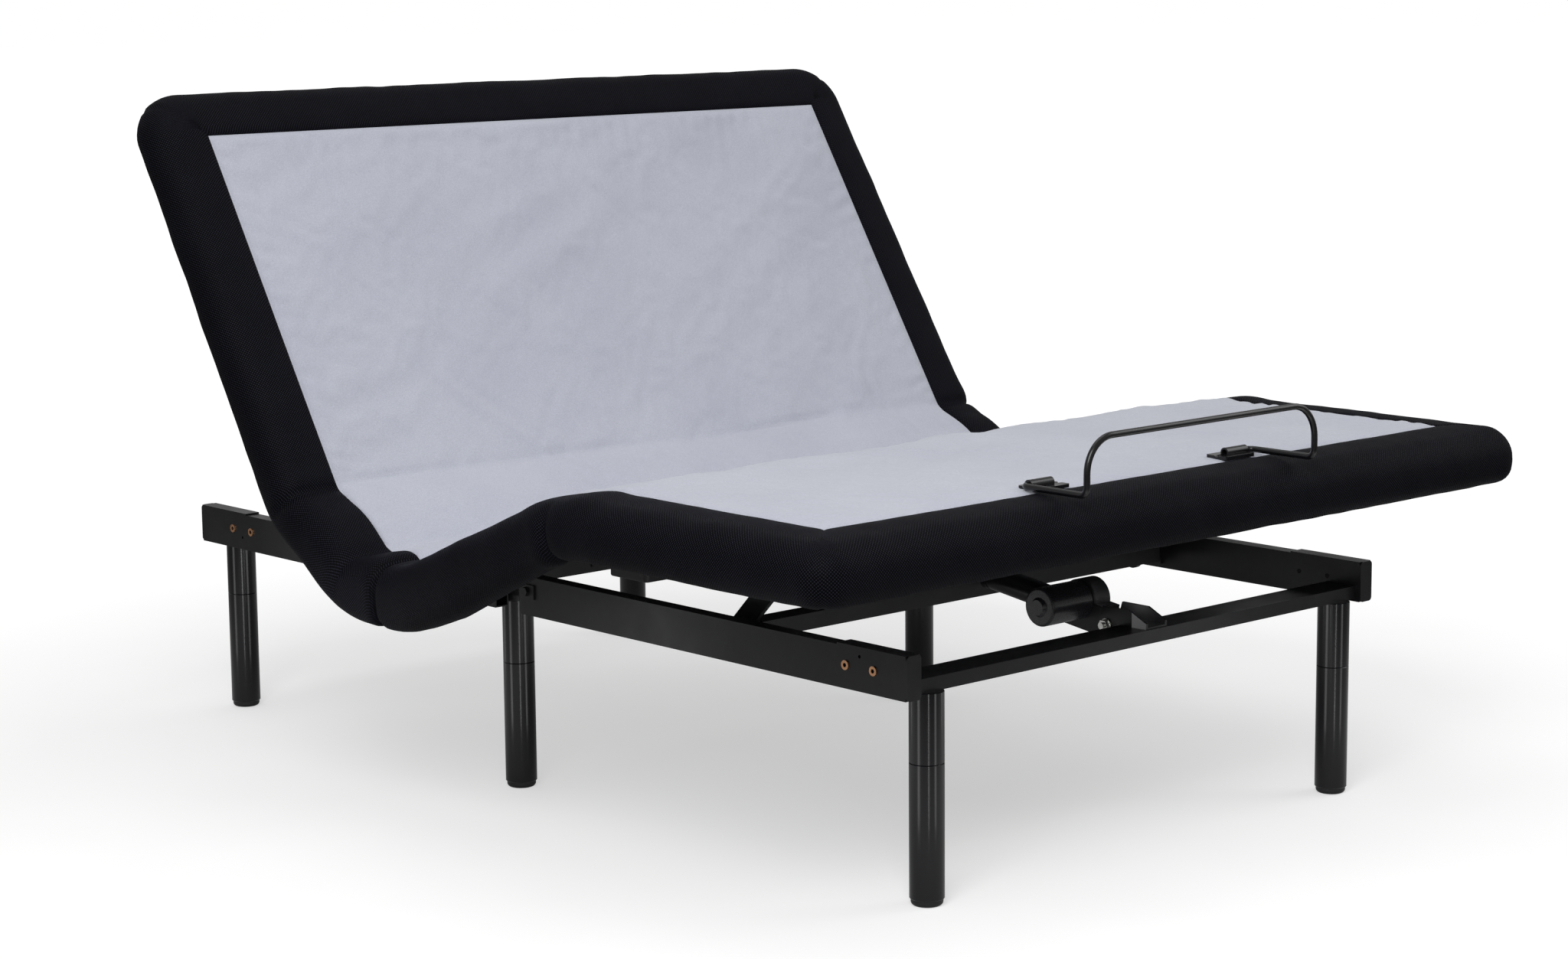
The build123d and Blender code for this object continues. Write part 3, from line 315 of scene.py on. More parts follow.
def unevenness(xs, ss, h, top, bottom):
    """How far the mesh stands out of its plain section: uneven foam, sewn mitres and tucks."""
    mitre = np.zeros(h.shape)
    for end in (0.0, AT[END]):
        from_side, from_end = HALF - np.abs(xs), np.abs(ss - end)
        near = (from_end < BAND + 4) & (from_side < BAND + 4)
        away = (from_side - from_end) / math.sqrt(2)
        mitre += np.where(near, np.exp(-((away / 3.2) ** 2)), 0)
    wobble = 0.55 * waves(xs + 0.6 * h, ss, 5, 150) + 0.25 * waves(xs + 0.6 * h, ss, 6, 48)
    puff = np.where(KIND == ON_SIDE, 0.4 * np.sin(math.pi * np.clip(OWN, 0, 1)), 0)
    upper = np.clip((h - bottom) / (top - bottom) * 1.6 - 0.2, 0, 1)
    outer = np.where((KIND == OVER_BOTTOM) | (KIND == ON_SIDE), 1.0, np.clip(1 - DEPTH / 30, 0, 1))
    tucks = (
        crease(ss, AT[CREASE], 6.5, 2.2) * upper
        + crease(ss, AT[SEAT_HEAD] + 4, 3.2, 2.0) * upper
        + crease(ss, AT[KNEE] + 6, 6.0, 2.6) * outer
    )
    return (wobble - 1.7 * mitre + puff + tucks) * np.clip((BAND - DEPTH) / 8, 0, 1)


def loft(xs, ss, travel, closed_end=None):
    """Points, faces, UVs and a border piece's end marks, from its stations.

    closed_end, a tip and the direction into the piece, gives that end a soft round nose."""
    h, top, bottom = border_heights(ss)
    shift = unevenness(xs, ss, h, top, bottom)
    h = h + shift * OUT[:, 1]
    inward = -shift * np.abs(np.minimum(OUT[:, 0], 0))
    if closed_end:
        tip, way = closed_end
        nose = round_end((ss - tip) * way, NOSE)
        middle = (top + bottom) / 2
        keep = 1 - nose / ((top - bottom) / 2)
        h = np.where(KIND == FIXED, np.minimum(h, top - nose), middle + (h - middle) * keep)
        inward = inward + nose * np.clip(1 - DEPTH / SKIRT, 0, 1)
    q = np.clip((h - bottom) / (top - bottom), 0, 1)
    out_x, out_s = plan_normal(xs, ss)
    yz = deck(ss - out_s * inward, h, q)
    points = np.stack((xs - out_x * inward, yz[..., 0], yz[..., 1]), axis=-1)
    n, m = h.shape
    index = np.arange(n * m).reshape(n, m)
    turned = np.roll(index, -1, axis=1)
    quads = np.stack((index[:-1], index[1:], turned[1:], turned[:-1]), axis=-1).reshape(-1, 4)
    faces = [tuple(face) for face in quads.tolist()]
    faces += [tuple(index[0].tolist()), tuple(index[-1, ::-1].tolist())]
    steps = np.linalg.norm(np.diff(points, axis=1), axis=-1)
    girth = np.concatenate((np.zeros((n, 1)), np.cumsum(steps, axis=1)), axis=1)
    uvs = np.stack((np.repeat(travel[:, None], m, axis=1), girth), axis=-1).reshape(-1, 2)
    marks = np.zeros(n * m, bool)
    marks[index[[0, -1]]] = True
    return points.reshape(-1, 3), faces, uvs, marks


def make(name, points, faces, uvs, marks, material):
    """A mesh object from points in mm; edges between two marked points stay sharp."""
    mesh = bpy.data.meshes.new(name)
    mesh.from_pydata((points * MM).tolist(), [], faces)
    layer = mesh.uv_layers.new(name="weave")
    loops = np.array([v for face in faces for v in face])
    layer.data.foreach_set("uv", (uvs[loops] * MM).astype(np.float32).ravel())
    mesh.polygons.foreach_set("use_smooth", np.ones(len(faces), bool))
    mesh.materials.append(material)
    mesh.validate()
    mesh.update()
    edges = np.array([edge.vertices[:] for edge in mesh.edges])
    sharp = mesh.attributes.new("sharp_edge", "BOOLEAN", "EDGE")
    sharp.data.foreach_set("value", marks[edges[:, 0]] & marks[edges[:, 1]])
    obj = bpy.data.objects.new(name, mesh)
    bpy.context.scene.collection.objects.link(obj)
    return obj


def weld(obj):
    """Joins the points that fall together in the corners' rounds."""
    distance = 2e-6
    work = bmesh.new()
    work.from_mesh(obj.data)
    bmesh.ops.remove_doubles(work, verts=work.verts, dist=distance)
    bmesh.ops.dissolve_degenerate(work, dist=distance, edges=work.edges)
    bmesh.ops.recalc_face_normals(work, faces=work.faces)
    work.to_mesh(obj.data)
    work.free()


def border(name, lofts):
    """One border piece from one or more lofts."""
    points, faces, uvs, marks, start = [], [], [], [], 0
    for p, f, u, m in lofts:
        points.append(p)
        faces += [tuple(v + start for v in face) for face in f]
        uvs.append(u)
        marks.append(m)
        start += len(p)
    points, uvs, marks = (np.concatenate(part) for part in (points, uvs, marks))
    obj = make(name, points, faces, uvs, marks, MESH)
    weld(obj)
    return obj


# Pads

SLACK = 0.006  # how much larger a sheet is than its seams
SHEET_STEP = 15.0
SHEET_FRAMES = 26
FOAM_MARGIN = 60


def grid_faces(n, m):
    """The quads of a grid of n by m points, as an array."""
    a = np.arange(n * m).reshape(n, m)
    return np.stack((a[:-1, :-1], a[1:, :-1], a[1:, 1:], a[:-1, 1:]), axis=-1).reshape(-1, 4)


def drape(start, end):
    """Lets a flat sheet a little too large for its seams settle on the foam, as a cloth.

    Gives the sheet's grid over the flat deck and its heights, in mm."""
    xs = np.linspace(-GREY, GREY, round(2 * GREY / SHEET_STEP) + 1)
    ss = np.linspace(start, end, round((end - start) / SHEET_STEP) + 1)
    gx, gs = np.meshgrid(xs, ss, indexing="ij")
    inside = (np.abs(gx) < GREY - 1) & (gs > start + 1) & (gs < end - 1)
    rng = np.random.default_rng(31)
    lift = (0.6 + 1.4 * waves(gx, gs, 32, 240) ** 2 + rng.uniform(0, 0.4, gx.shape)) * inside
    points = np.stack((gx, gs, lift), axis=-1).reshape(-1, 3)
    mesh = bpy.data.meshes.new("sheet")
    mesh.from_pydata((points * MM).tolist(), [], grid_faces(*gx.shape).tolist())
    sheet = bpy.data.objects.new("sheet", mesh)
    bpy.context.scene.collection.objects.link(sheet)
    pins = sheet.vertex_groups.new(name="pins")
    pins.add(np.flatnonzero(~inside).tolist(), 1.0, "REPLACE")

    foam_mesh = bpy.data.meshes.new("foam")
    wide, low, high = GREY + FOAM_MARGIN, start - FOAM_MARGIN, end + FOAM_MARGIN
    corners = ((-wide, low), (wide, low), (wide, high), (-wide, high))
    foam_mesh.from_pydata([(x * MM, s * MM, -2 * MM) for x, s in corners], [], [(0, 1, 2, 3)])
    foam = bpy.data.objects.new("foam", foam_mesh)
    bpy.context.scene.collection.objects.link(foam)
    foam.modifiers.new("foam", "COLLISION")
    foam.collision.thickness_outer = 0.001
    foam.collision.cloth_friction = 12

    cloth = sheet.modifiers.new("cloth", "CLOTH")
    cloth.settings.quality = 4
    cloth.settings.mass = 0.25
    cloth.settings.tension_stiffness = 25
    cloth.settings.compression_stiffness = 25
    cloth.settings.shear_stiffness = 12
    cloth.settings.bending_stiffness = 1.2
    cloth.settings.air_damping = 2
    cloth.settings.vertex_group_mass = "pins"
    cloth.settings.shrink_min = -SLACK
    cloth.collision_settings.distance_min = 0.001
    for number in range(1, SHEET_FRAMES + 1):
        bpy.context.scene.frame_set(number)
    settled = sheet.evaluated_get(bpy.context.evaluated_depsgraph_get())
    place = np.empty(gx.size * 3)
    settled.data.vertices.foreach_get("co", place)
    bpy.data.objects.remove(sheet)
    bpy.data.objects.remove(foam)
    bpy.context.scene.frame_set(1)
    return xs, ss, place.reshape(*gx.shape, 3)[..., 2] / MM


def sampled(sheet, x, s):
    """A draped sheet's height at points x, s of the flat deck."""
    xs, ss, height = sheet
    fx = np.clip((x - xs[0]) / (xs[1] - xs[0]), 0, len(xs) - 1.001)
    fs = np.clip((s - ss[0]) / (ss[1] - ss[0]), 0, len(ss) - 1.001)
    i, j = fx.astype(int), fs.astype(int)
    u, v = fx - i, fs - j
    u, v = u * u * (3 - 2 * u), v * v * (3 - 2 * v)
    low = height[i, j] * (1 - u) + height[i + 1, j] * u
    high = height[i, j + 1] * (1 - u) + height[i + 1, j + 1] * u
    return low * (1 - v) + high * v


FOOT_SHEET, HEAD_SHEET = drape(BAND, SPLIT), drape(SPLIT, AT[END] - BAND)

# folds across the grey cover where it bends: place, half width, height
CROSS_FOLDS = [
    (AT[CREASE] + 2, 6, -4.4), (AT[CREASE] - 34, 20, 2.4), (AT[CREASE] - 78, 12, -1.6),
    (AT[SEAT_HEAD] + 34, 22, 2.2), (AT[SEAT_HEAD] + 2, 9, -2.2),
    (AT[SEAT_FOOT] - 60, 18, 1.6), (AT[SEAT_FOOT] - 95, 10, -1.4), (AT[KNEE] + 40, 14, -1.2),
]
# long slanting folds: seed, angle, distance from one to the next, height
LONG_FOLDS = [(71, 0.62, 150, 1.7), (72, 0.5, 92, 0.9), (73, 2.5, 170, 0.9)]
PUCKER_EVERY = 34
PUCKER_WIDTH = 0.22  # of the distance from one pucker to the next
LEAST = 21.6  # height that the grey cover keeps over the boards


def long_folds(x, s):
    """Broad, slanting and fine folds of the grey cover."""
    folds = 2.0 * waves(x, s, 21, 330)
    for seed, angle, length, size in LONG_FOLDS:
        slanting = x * math.cos(angle + math.pi / 2) + s * math.sin(angle + math.pi / 2)
        along = x * math.cos(angle) + s * math.sin(angle)
        strength = np.clip(0.25 + 0.75 * waves(along * 0.45, slanting, seed, 380, 6), 0, 1.6)
        bent = 2 * math.pi * slanting / length + 1.3 * waves(x, s, seed + 10, 420)
        folds = folds + size * strength * np.sin(bent)
    slant = np.sin((x * 0.72 + s * 0.69) / 38 + 1.6 * waves(x, s, 22, 260))
    return folds + 0.9 * slant * np.clip(waves(x, s, 23, 300), 0, 1.5)


def puckers(x, s, edge):
    """Small gathers that run in from the seams."""
    along_seam = np.where(GREY - np.abs(x) < edge + 1e-3, s, x)
    phase = along_seam / PUCKER_EVERY + 0.42 * waves(along_seam, 0 * s, 24, 210) + edge / 110
    depth = 1.5 - 4.2 * np.exp(-(((phase - np.round(phase)) / PUCKER_WIDTH) ** 2))
    strength = np.clip(0.6 + 0.6 * waves(along_seam, 0 * s, 25, 160), 0, 1)
    return depth * strength * np.exp(-edge / 46) * np.clip(edge / 14, 0, 1)


def cross_folds(x, s):
    """Folds across the grey cover at the hinges."""
    total = np.zeros(x.shape)
    for k, (at, half, height) in enumerate(CROSS_FOLDS):
        moved = s - at - 7 * waves(x, 0 * x, 40 + k, 500, 4)
        size = np.clip(0.65 + 0.5 * waves(x, 0 * x, 60 + k, 420, 4), 0, 1.3)
        total = total + height * size * np.exp(-((moved / half) ** 2))
    return total


def pad_height(x, s, seams):
    """Height of the grey cover's top: crowned, pulled down to its seams, folded and settled."""
    edge = GREY - np.abs(x)
    for at, way in seams:
        edge = np.minimum(edge, (s - at) * way)
    edge = np.maximum(edge, 0)
    pull = 2.2 * np.exp(-edge / 22)
    roll = 5.4 * (1 - np.sqrt(np.maximum(1 - (1 - np.clip(edge / 8, 0, 1)) ** 2, 0)))
    inside = np.clip(edge / 60, 0, 1)
    settled = np.where(s < SPLIT, sampled(FOOT_SHEET, x, s), sampled(HEAD_SHEET, x, s))
    height = (
        top_of(s) + 1.2 * inside - pull - roll
        + long_folds(x, s) * inside
        + puckers(x, s, edge)
        + cross_folds(x, s) * np.clip(edge / 20, 0, 1)
        + 0.8 * settled * np.clip(edge / 10, 0, 1)
    )
    # over the boards' ends at the knee the cover keeps more of its padding
    least = LEAST + 2.4 * knee_ends(s)
    return np.maximum(height, least) + 1.5 * bump(s, AT[KNEE], 120) * np.clip(edge / 25, 0, 1)


def pad(name, low, high, seams=(), closed_end=None):
    """A closed pad from low to high along the deck: top, underside on the boards, and walls.

    seams and closed_end are tips and the direction into the pad."""
    edge_steps = np.array([0, 0.4, 1.2, 2.6, 5, 9, 15])
    inner = GREY - 23
    plain_x = np.linspace(-inner, inner, round(2 * inner / PAD_STEP))
    xs = np.unique(np.concatenate((-GREY + edge_steps, GREY - edge_steps, plain_x)))
    ends = list(seams) + ([closed_end] if closed_end else [])
    plain = np.linspace(low, high, round((high - low) / PAD_STEP) + 1)
    for tip, way in ends:
        plain = plain[np.abs(plain - tip) > 19]
    at_ends = [tip + way * edge_steps for tip, way in ends]
    ss = np.unique(np.concatenate([plain, *at_ends, [low, high]]))
    gx, gs = np.meshgrid(xs, ss, indexing="ij")
    top = pad_height(gx, gs, seams)
    if closed_end:
        tip, way = closed_end
        top = top - np.minimum(round_end((gs - tip) * way, NOSE), top - BOARD - 0.3)
    base = np.full(gx.shape, BOARD + 0.2)
    top = np.maximum(top, base + 0.4)
    n, m = gx.shape
    points = []
    for h in (top, base):
        yz = deck(gs, h, np.ones(h.shape))
        points.append(np.stack((gx, yz[..., 0], yz[..., 1]), axis=-1).reshape(-1, 3))
    uvs = np.tile(np.stack((gx, gs), axis=-1).reshape(-1, 2), (2, 1))
    a = np.arange(n * m).reshape(n, m)
    b = a + n * m
    # the walls go round the pad, each from one point of its rim to the next
    rim = [
        (a[:-1, 0], a[1:, 0]), (a[1:, -1], a[:-1, -1]),
        (a[0, 1:], a[0, :-1]), (a[-1, :-1], a[-1, 1:]),
    ]
    walls = [np.stack((p, p + n * m, r + n * m, r), axis=-1) for p, r in rim]
    faces = np.concatenate([grid_faces(n, m), grid_faces(n, m)[:, ::-1] + n * m] + walls)
    marks = np.zeros(2 * n * m, bool)
    for column in (0, -1):
        marks[a[:, column]] = True
        marks[b[:, column]] = True
    faces = [tuple(face) for face in faces.tolist()]
    return make(name, np.concatenate(points), faces, uvs, marks, FELT)


# Materials: every one is worked out by nodes in the part's own coordinates


def arithmetic(tree, operation, a, b=0.0):
    """The output of a maths node fed with numbers or with other nodes' outputs."""
    node = tree.nodes.new("ShaderNodeMath")
    node.operation = operation
    for socket, value in zip(node.inputs, (a, b)):
        if isinstance(value, (int, float)):
            socket.default_value = value
        else:
            tree.links.new(value, socket)
    return node.outputs["Value"]


def grey(value):
    """A neutral colour."""
    return (value, value, value)


class Nodes:
    """A material and the nodes that feed its shader."""

    def __init__(self, name):
        self.material = bpy.data.materials.new(name)
        self.material.use_nodes = True
        self.tree = self.material.node_tree
        self.bsdf = self.tree.nodes["Principled BSDF"]
        self.place = self.tree.nodes.new("ShaderNodeTexCoord")

    def set(self, **values):
        for key, value in values.items():
            self.bsdf.inputs[key.replace("_", " ")].default_value = value

    def link(self, a, b):
        self.tree.links.new(a, b)

    def noise(self, scale, detail, rough, stretch=None):
        node = self.tree.nodes.new("ShaderNodeTexNoise")
        node.inputs["Scale"].default_value = scale
        node.inputs["Detail"].default_value = detail
        node.inputs["Roughness"].default_value = rough
        source = self.place.outputs["Object"]
        if stretch:
            mapping = self.tree.nodes.new("ShaderNodeMapping")
            mapping.inputs["Scale"].default_value = stretch
            self.link(source, mapping.inputs["Vector"])
            source = mapping.outputs["Vector"]
        self.link(source, node.inputs["Vector"])
        return node.outputs["Fac"]

    def ramp(self, value, *stops):
        node = self.tree.nodes.new("ShaderNodeValToRGB")
        while len(node.color_ramp.elements) < len(stops):
            node.color_ramp.elements.new(0.5)
        for element, (at, colour) in zip(node.color_ramp.elements, stops):
            element.position = at
            element.color = (*colour, 1)
        self.link(value, node.inputs["Fac"])
        return node.outputs["Color"]

    def range(self, value, low, high, from_low=0.3, from_high=0.7):
        node = self.tree.nodes.new("ShaderNodeMapRange")
        node.inputs["From Min"].default_value = from_low
        node.inputs["From Max"].default_value = from_high
        node.inputs["To Min"].default_value = low
        node.inputs["To Max"].default_value = high
        self.link(value, node.inputs["Value"])
        return node.outputs["Result"]

    def mix(self, a, b, factor, blend="MIX"):
        node = self.tree.nodes.new("ShaderNodeMix")
        node.data_type = "RGBA"
        node.blend_type = blend
        for socket, value in ((node.inputs[0], factor), (node.inputs[6], a), (node.inputs[7], b)):
            if isinstance(value, (int, float)):
                socket.default_value = value
            elif isinstance(value, tuple):
                socket.default_value = (*value, 1)
            else:
                self.link(value, socket)
        return node.outputs[2]

    def toned(self, base, value, dark, light, factor):
        """base, tinted by a noise: dark and light are (place on the noise, tint)."""
        return self.mix(base, self.ramp(value, dark, light), factor, "MULTIPLY")

    def relief(self, height, strength, distance, below=None):
        node = self.tree.nodes.new("ShaderNodeBump")
        node.inputs["Strength"].default_value = strength
        node.inputs["Distance"].default_value = distance
        self.link(height, node.inputs["Height"])
        if below is not None:
            self.link(below, node.inputs["Normal"])
        return node.outputs["Normal"]

    def finish(self, colour, rough=None, normal=None):
        """Links what feeds the shader and gives the material."""
        sockets = {"Base Color": colour, "Roughness": rough, "Normal": normal}
        for name, output in sockets.items():
            if output is not None:
                self.link(output, self.bsdf.inputs[name])
        return self.material


def felt():
    """Light grey brushed cloth: a fibre melange, a faint weave and slow shifts of tone."""
    n = Nodes("felt_grey")
    n.set(Roughness=0.92, Sheen_Weight=0.25, Sheen_Roughness=0.5, Specular_IOR_Level=0.25)
    fibre = n.noise(760, 4, 0.7)
    streak = n.noise(420, 2, 0.6, stretch=(1, 5, 5))
    slow = n.noise(5.5, 3, 0.5)
    base = n.ramp(
        fibre, (0.3, (0.35, 0.364, 0.418)), (0.5, (0.432, 0.447, 0.512)),
        (0.72, (0.535, 0.55, 0.615)),
    )
    base = n.toned(base, streak, (0.35, (0.86, 0.86, 0.87)), (0.65, grey(1.06)), 0.5)
    base = n.toned(base, slow, (0.35, (0.95, 0.95, 0.96)), (0.65, (1.03, 1.03, 1.02)), 0.7)
    normal = n.relief(slow, 0.12, 0.004, n.relief(fibre, 0.35, 0.0006))
    return n.finish(base, normal=normal)


def mesh_cloth():
    """Black spacer mesh: staggered round holes between threads."""
    pitch = 0.0034
    n = Nodes("mesh_black")
    n.set(Specular_IOR_Level=0.05)
    mapping = n.tree.nodes.new("ShaderNodeMapping")
    mapping.inputs["Rotation"].default_value = (0, 0, math.radians(45))
    n.link(n.place.outputs["UV"], mapping.inputs["Vector"])
    cell = n.tree.nodes.new("ShaderNodeTexVoronoi")
    cell.voronoi_dimensions = "2D"
    cell.inputs["Scale"].default_value = 1 / pitch
    cell.inputs["Randomness"].default_value = 0.06
    n.link(mapping.outputs["Vector"], cell.inputs["Vector"])
    hole = cell.outputs["Distance"]
    thread = n.ramp(
        hole, (0.24, (0.0001, 0.0001, 0.0002)), (0.42, (0.0009, 0.0009, 0.0014)),
        (0.64, (0.0205, 0.0208, 0.034)),
    )
    slow = n.noise(14, 3, 0.5)
    thread = n.toned(thread, slow, (0.3, (0.8, 0.8, 0.82)), (0.7, (1.12, 1.12, 1.1)), 0.8)
    rough = n.range(n.noise(900, 2, 0.6), 0.5, 0.74)
    return n.finish(thread, rough, n.relief(slow, 0.1, 0.004, n.relief(hole, 0.9, 0.0008)))


def coated(name, colour, rough, peel=0.12, coat=0.0, dust=0.55):
    """Painted or powder-coated steel: fine orange peel, uneven sheen, dust and rubbed tone."""
    n = Nodes(name)
    n.set(Coat_Weight=coat, Coat_Roughness=0.12, Specular_IOR_Level=0.3)
    slow = n.noise(9, 4, 0.6)
    dusty = tuple(c * 1.6 + 0.002 for c in colour)
    base = n.mix(colour, dusty, n.range(n.noise(60, 5, 0.65), 0.0, dust, 0.45, 0.8))
    base = n.toned(base, slow, (0.3, grey(0.85)), (0.7, grey(1.15)), 0.6)
    normal = n.relief(n.noise(520, 2, 0.5), peel, 0.0004)
    return n.finish(base, n.range(slow, rough - 0.05, rough + 0.08), normal)


def metal(name, colour, rough, stretch=(1, 1, 1), painted_within=0.0):
    """Bare or plated metal: faint drawing marks, tarnish and uneven polish.

    It is painted black where its x is smaller than painted_within, in metres."""
    n = Nodes(name)
    n.set(Metallic=1.0)
    marks = n.noise(240, 3, 0.6, stretch=stretch)
    tarnished = tuple(c * 0.72 for c in colour)
    base = n.mix(colour, tarnished, n.range(n.noise(35, 3, 0.6), 0.0, 0.7, 0.45, 0.75))
    if painted_within:
        split = n.tree.nodes.new("ShaderNodeSeparateXYZ")
        n.link(n.place.outputs["Object"], split.inputs[0])
        from_middle = arithmetic(n.tree, "ABSOLUTE", split.outputs["X"])
        bare = arithmetic(n.tree, "GREATER_THAN", from_middle, painted_within)
        base = n.mix((0.012, 0.012, 0.013), base, bare)
    return n.finish(base, n.range(marks, rough * 0.8, rough * 1.35), n.relief(marks, 0.08, 0.0003))


def moulded(name, colour, rough, grain=0.25):
    """Moulded plastic: a fine spark-eroded grain, and slow changes of sheen painted into its colour as lighter
    patches.
    """
    n = Nodes(name)
    n.set(Specular_IOR_Level=0.35)
    fine = n.noise(900, 2, 0.6)
    # painted sheen: the colour turns lighter in slow patches, standing in for uneven gloss
    light = tuple(c * 1.5 + 0.002 for c in colour)
    base = n.mix(colour, light, n.range(n.noise(22, 3, 0.5), 0.0, 0.8))
    return n.finish(base, n.range(fine, rough - 0.06, rough + 0.1), n.relief(fine, grain, 0.0003))


def board_wood():
    """Sheet timber stained black, seen from below: long grain, uneven bands, rough sawn."""
    n = Nodes("panel_wood")
    n.set(Specular_IOR_Level=0.3)
    grain = n.noise(46, 5, 0.65, stretch=(0.12, 1, 1))
    bands = n.noise(7, 3, 0.6, stretch=(0.2, 1, 1))
    base = n.ramp(
        grain, (0.25, grey(0.006)), (0.5, (0.012, 0.011, 0.011)), (0.75, (0.024, 0.022, 0.021))
    )
    base = n.toned(base, bands, (0.3, (0.78, 0.76, 0.74)), (0.7, (1.1, 1.08, 1.05)), 0.7)
    return n.finish(base, n.range(grain, 0.6, 0.82), n.relief(grain, 0.3, 0.0008))


FELT = felt()
MESH = mesh_cloth()
FINISH = {
    "frame_steel": coated("frame_powder_black", (0.0065, 0.0065, 0.0075), 0.34),
    "lift_steel": coated("lift_powder_black", (0.006, 0.006, 0.007), 0.4, 0.16),
    "leg_steel": coated("leg_gloss_black", (0.003, 0.003, 0.004), 0.16, 0.003, 0.3, 0.1),
    "glide_plastic": moulded("glide_black", (0.006, 0.006, 0.0065), 0.42),
    "bolt_brass": metal("sleeve_nut_brass", (0.66, 0.36, 0.2), 0.3, painted_within=0.5075),
    "bolt_zinc": metal("zinc_plated", (0.55, 0.55, 0.53), 0.32),
    "hinge_steel": coated("hinge_black", (0.007, 0.007, 0.008), 0.45, 0.2, dust=0.75),
    "panel_board": board_wood(),
    "motor_plastic": moulded("motor_black", (0.015, 0.015, 0.018), 0.24),
    "gear_plastic": moulded("gear_black", (0.007, 0.007, 0.008), 0.44),
    "tube_steel": coated("tube_black", (0.006, 0.006, 0.007), 0.3, 0.1),
    "rod_chrome": metal("rod_bright", (0.72, 0.72, 0.71), 0.16, (1, 0.05, 1)),
    "roller_nylon": moulded("roller_dark", (0.015, 0.015, 0.016), 0.5, 0.15),
    "retainer_steel": coated("retainer_black", (0.005, 0.005, 0.006), 0.26, 0.06, 0.2),
    "box_plastic": moulded("box_black", (0.007, 0.007, 0.008), 0.44),
}

# the soft nodes have no finish here, as the covers stand for them
slot_of = {part["node"]: part["material_slot"] for part in frame["record"]["subparts"]}
for name, obj in frame["nodes"].items():
    finish = FINISH.get(slot_of[name])
    if finish:
        for place in obj.material_slots:
            place.link = "OBJECT"
            place.material = finish


# Covers


def declare(obj, nodes):
    """Hides the parts that a finished cover piece stands for, and bakes the piece's place into its points."""
    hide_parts(*nodes)
    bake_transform(obj)


FOOT_SPLIT, HEAD_SPLIT = SPLIT - GAP, SPLIT + GAP
SIDES = (-1, 1)
foot_border = border("cover_border_foot", [loft(*end_path(0.0, THIGH_CUT))])
head_border = border("cover_border_head", [loft(*end_path(AT[END], LUMBAR_CUT))])
thigh_border = border("cover_border_thigh", [
    loft(*side_path(side, THIGH_CUT, FOOT_SPLIT), (FOOT_SPLIT, -1)) for side in SIDES
])
lumbar_border = border("cover_border_lumbar", [
    loft(*side_path(side, HEAD_SPLIT, LUMBAR_CUT), (HEAD_SPLIT, 1)) for side in SIDES
])
foot_pad = pad("cover_pad_foot", BAND, THIGH_CUT, seams=[(BAND, 1)])
thigh_pad = pad("cover_pad_thigh", THIGH_CUT, FOOT_SPLIT, closed_end=(FOOT_SPLIT, -1))
lumbar_pad = pad("cover_pad_lumbar", HEAD_SPLIT, LUMBAR_CUT, closed_end=(HEAD_SPLIT, 1))
head_pad = pad("cover_pad_head", LUMBAR_CUT, AT[END] - BAND, seams=[(AT[END] - BAND, -1)])

BORDER_FILL, PAD_FILL = 0.7, 0.5
for bodies, k, way, reach, covers in (
    (("foot_panel", "thigh_panel"), KNEE, WAY[0], (110, 110),
     ((foot_border, ["foot_border"], BORDER_FILL), (foot_pad, ["foot_pad"], PAD_FILL))),
    (("thigh_panel", "base_frame"), SEAT_FOOT, WAY[2], (45, 35),
     ((thigh_border, ["thigh_border"], BORDER_FILL), (thigh_pad, ["thigh_pad"], PAD_FILL))),
    (("base_frame", "lumbar_panel"), SEAT_HEAD, WAY[2], (50, 50),
     ((lumbar_border, ["lumbar_border", "seat_border"], BORDER_FILL),
      (lumbar_pad, ["lumbar_pad", "seat_pads"], PAD_FILL))),
    (("lumbar_panel", "back_panel"), CREASE, WAY[3], (50, 60),
     ((head_border, ["back_border"], BORDER_FILL), (head_pad, ["back_pad"], PAD_FILL))),
):
    for cover, nodes, fill in covers:
        declare(cover, nodes)


# Stage, light and camera
scene = bpy.context.scene
FLOOR_REACH = 40.0
floor_mesh = bpy.data.meshes.new("floor")
floor_corners = [
    (x * FLOOR_REACH, y * FLOOR_REACH, 0) for x, y in ((-1, -1), (1, -1), (1, 1), (-1, 1))
]
floor_mesh.from_pydata(floor_corners, [], [(0, 1, 2, 3)])
floor = bpy.data.objects.new("floor", floor_mesh)
scene.collection.objects.link(floor)

# the floor is grey under the bed, where it shows the shadow, and turns white farther out
NEAR_WHITE, FULL_WHITE = 1.25, 2.3  # metres from the middle
FLOOR_GLOW, FAR_GLOW = 0.5, 0.56  # what the camera sees of the floor's own light
IN_GLOSS = 0.15  # how much of that shows in reflections
ground = Nodes("floor_pale")
ground.set(Roughness=0.95, Specular_IOR_Level=0.05, Emission_Color=(1, 1, 1, 1))
from_centre = ground.tree.nodes.new("ShaderNodeVectorMath")
from_centre.operation = "LENGTH"
ground.link(ground.place.outputs["Object"], from_centre.inputs[0])
far = ground.range(from_centre.outputs["Value"], 0.0, 1.0, NEAR_WHITE, FULL_WHITE)
pale = ground.ramp(ground.noise(3.0, 2, 0.5), (0.3, grey(0.53)), (0.7, grey(0.55)))
path = ground.tree.nodes.new("ShaderNodeLightPath")
in_gloss = arithmetic(ground.tree, "MULTIPLY", path.outputs["Is Glossy Ray"], IN_GLOSS)
seen_floor = arithmetic(ground.tree, "MAXIMUM", path.outputs["Is Camera Ray"], in_gloss)
far_glow = arithmetic(ground.tree, "MULTIPLY", far, FAR_GLOW)
glow = arithmetic(ground.tree, "ADD", far_glow, FLOOR_GLOW)
ground.link(
    arithmetic(ground.tree, "MULTIPLY", seen_floor, glow), ground.bsdf.inputs["Emission Strength"]
)
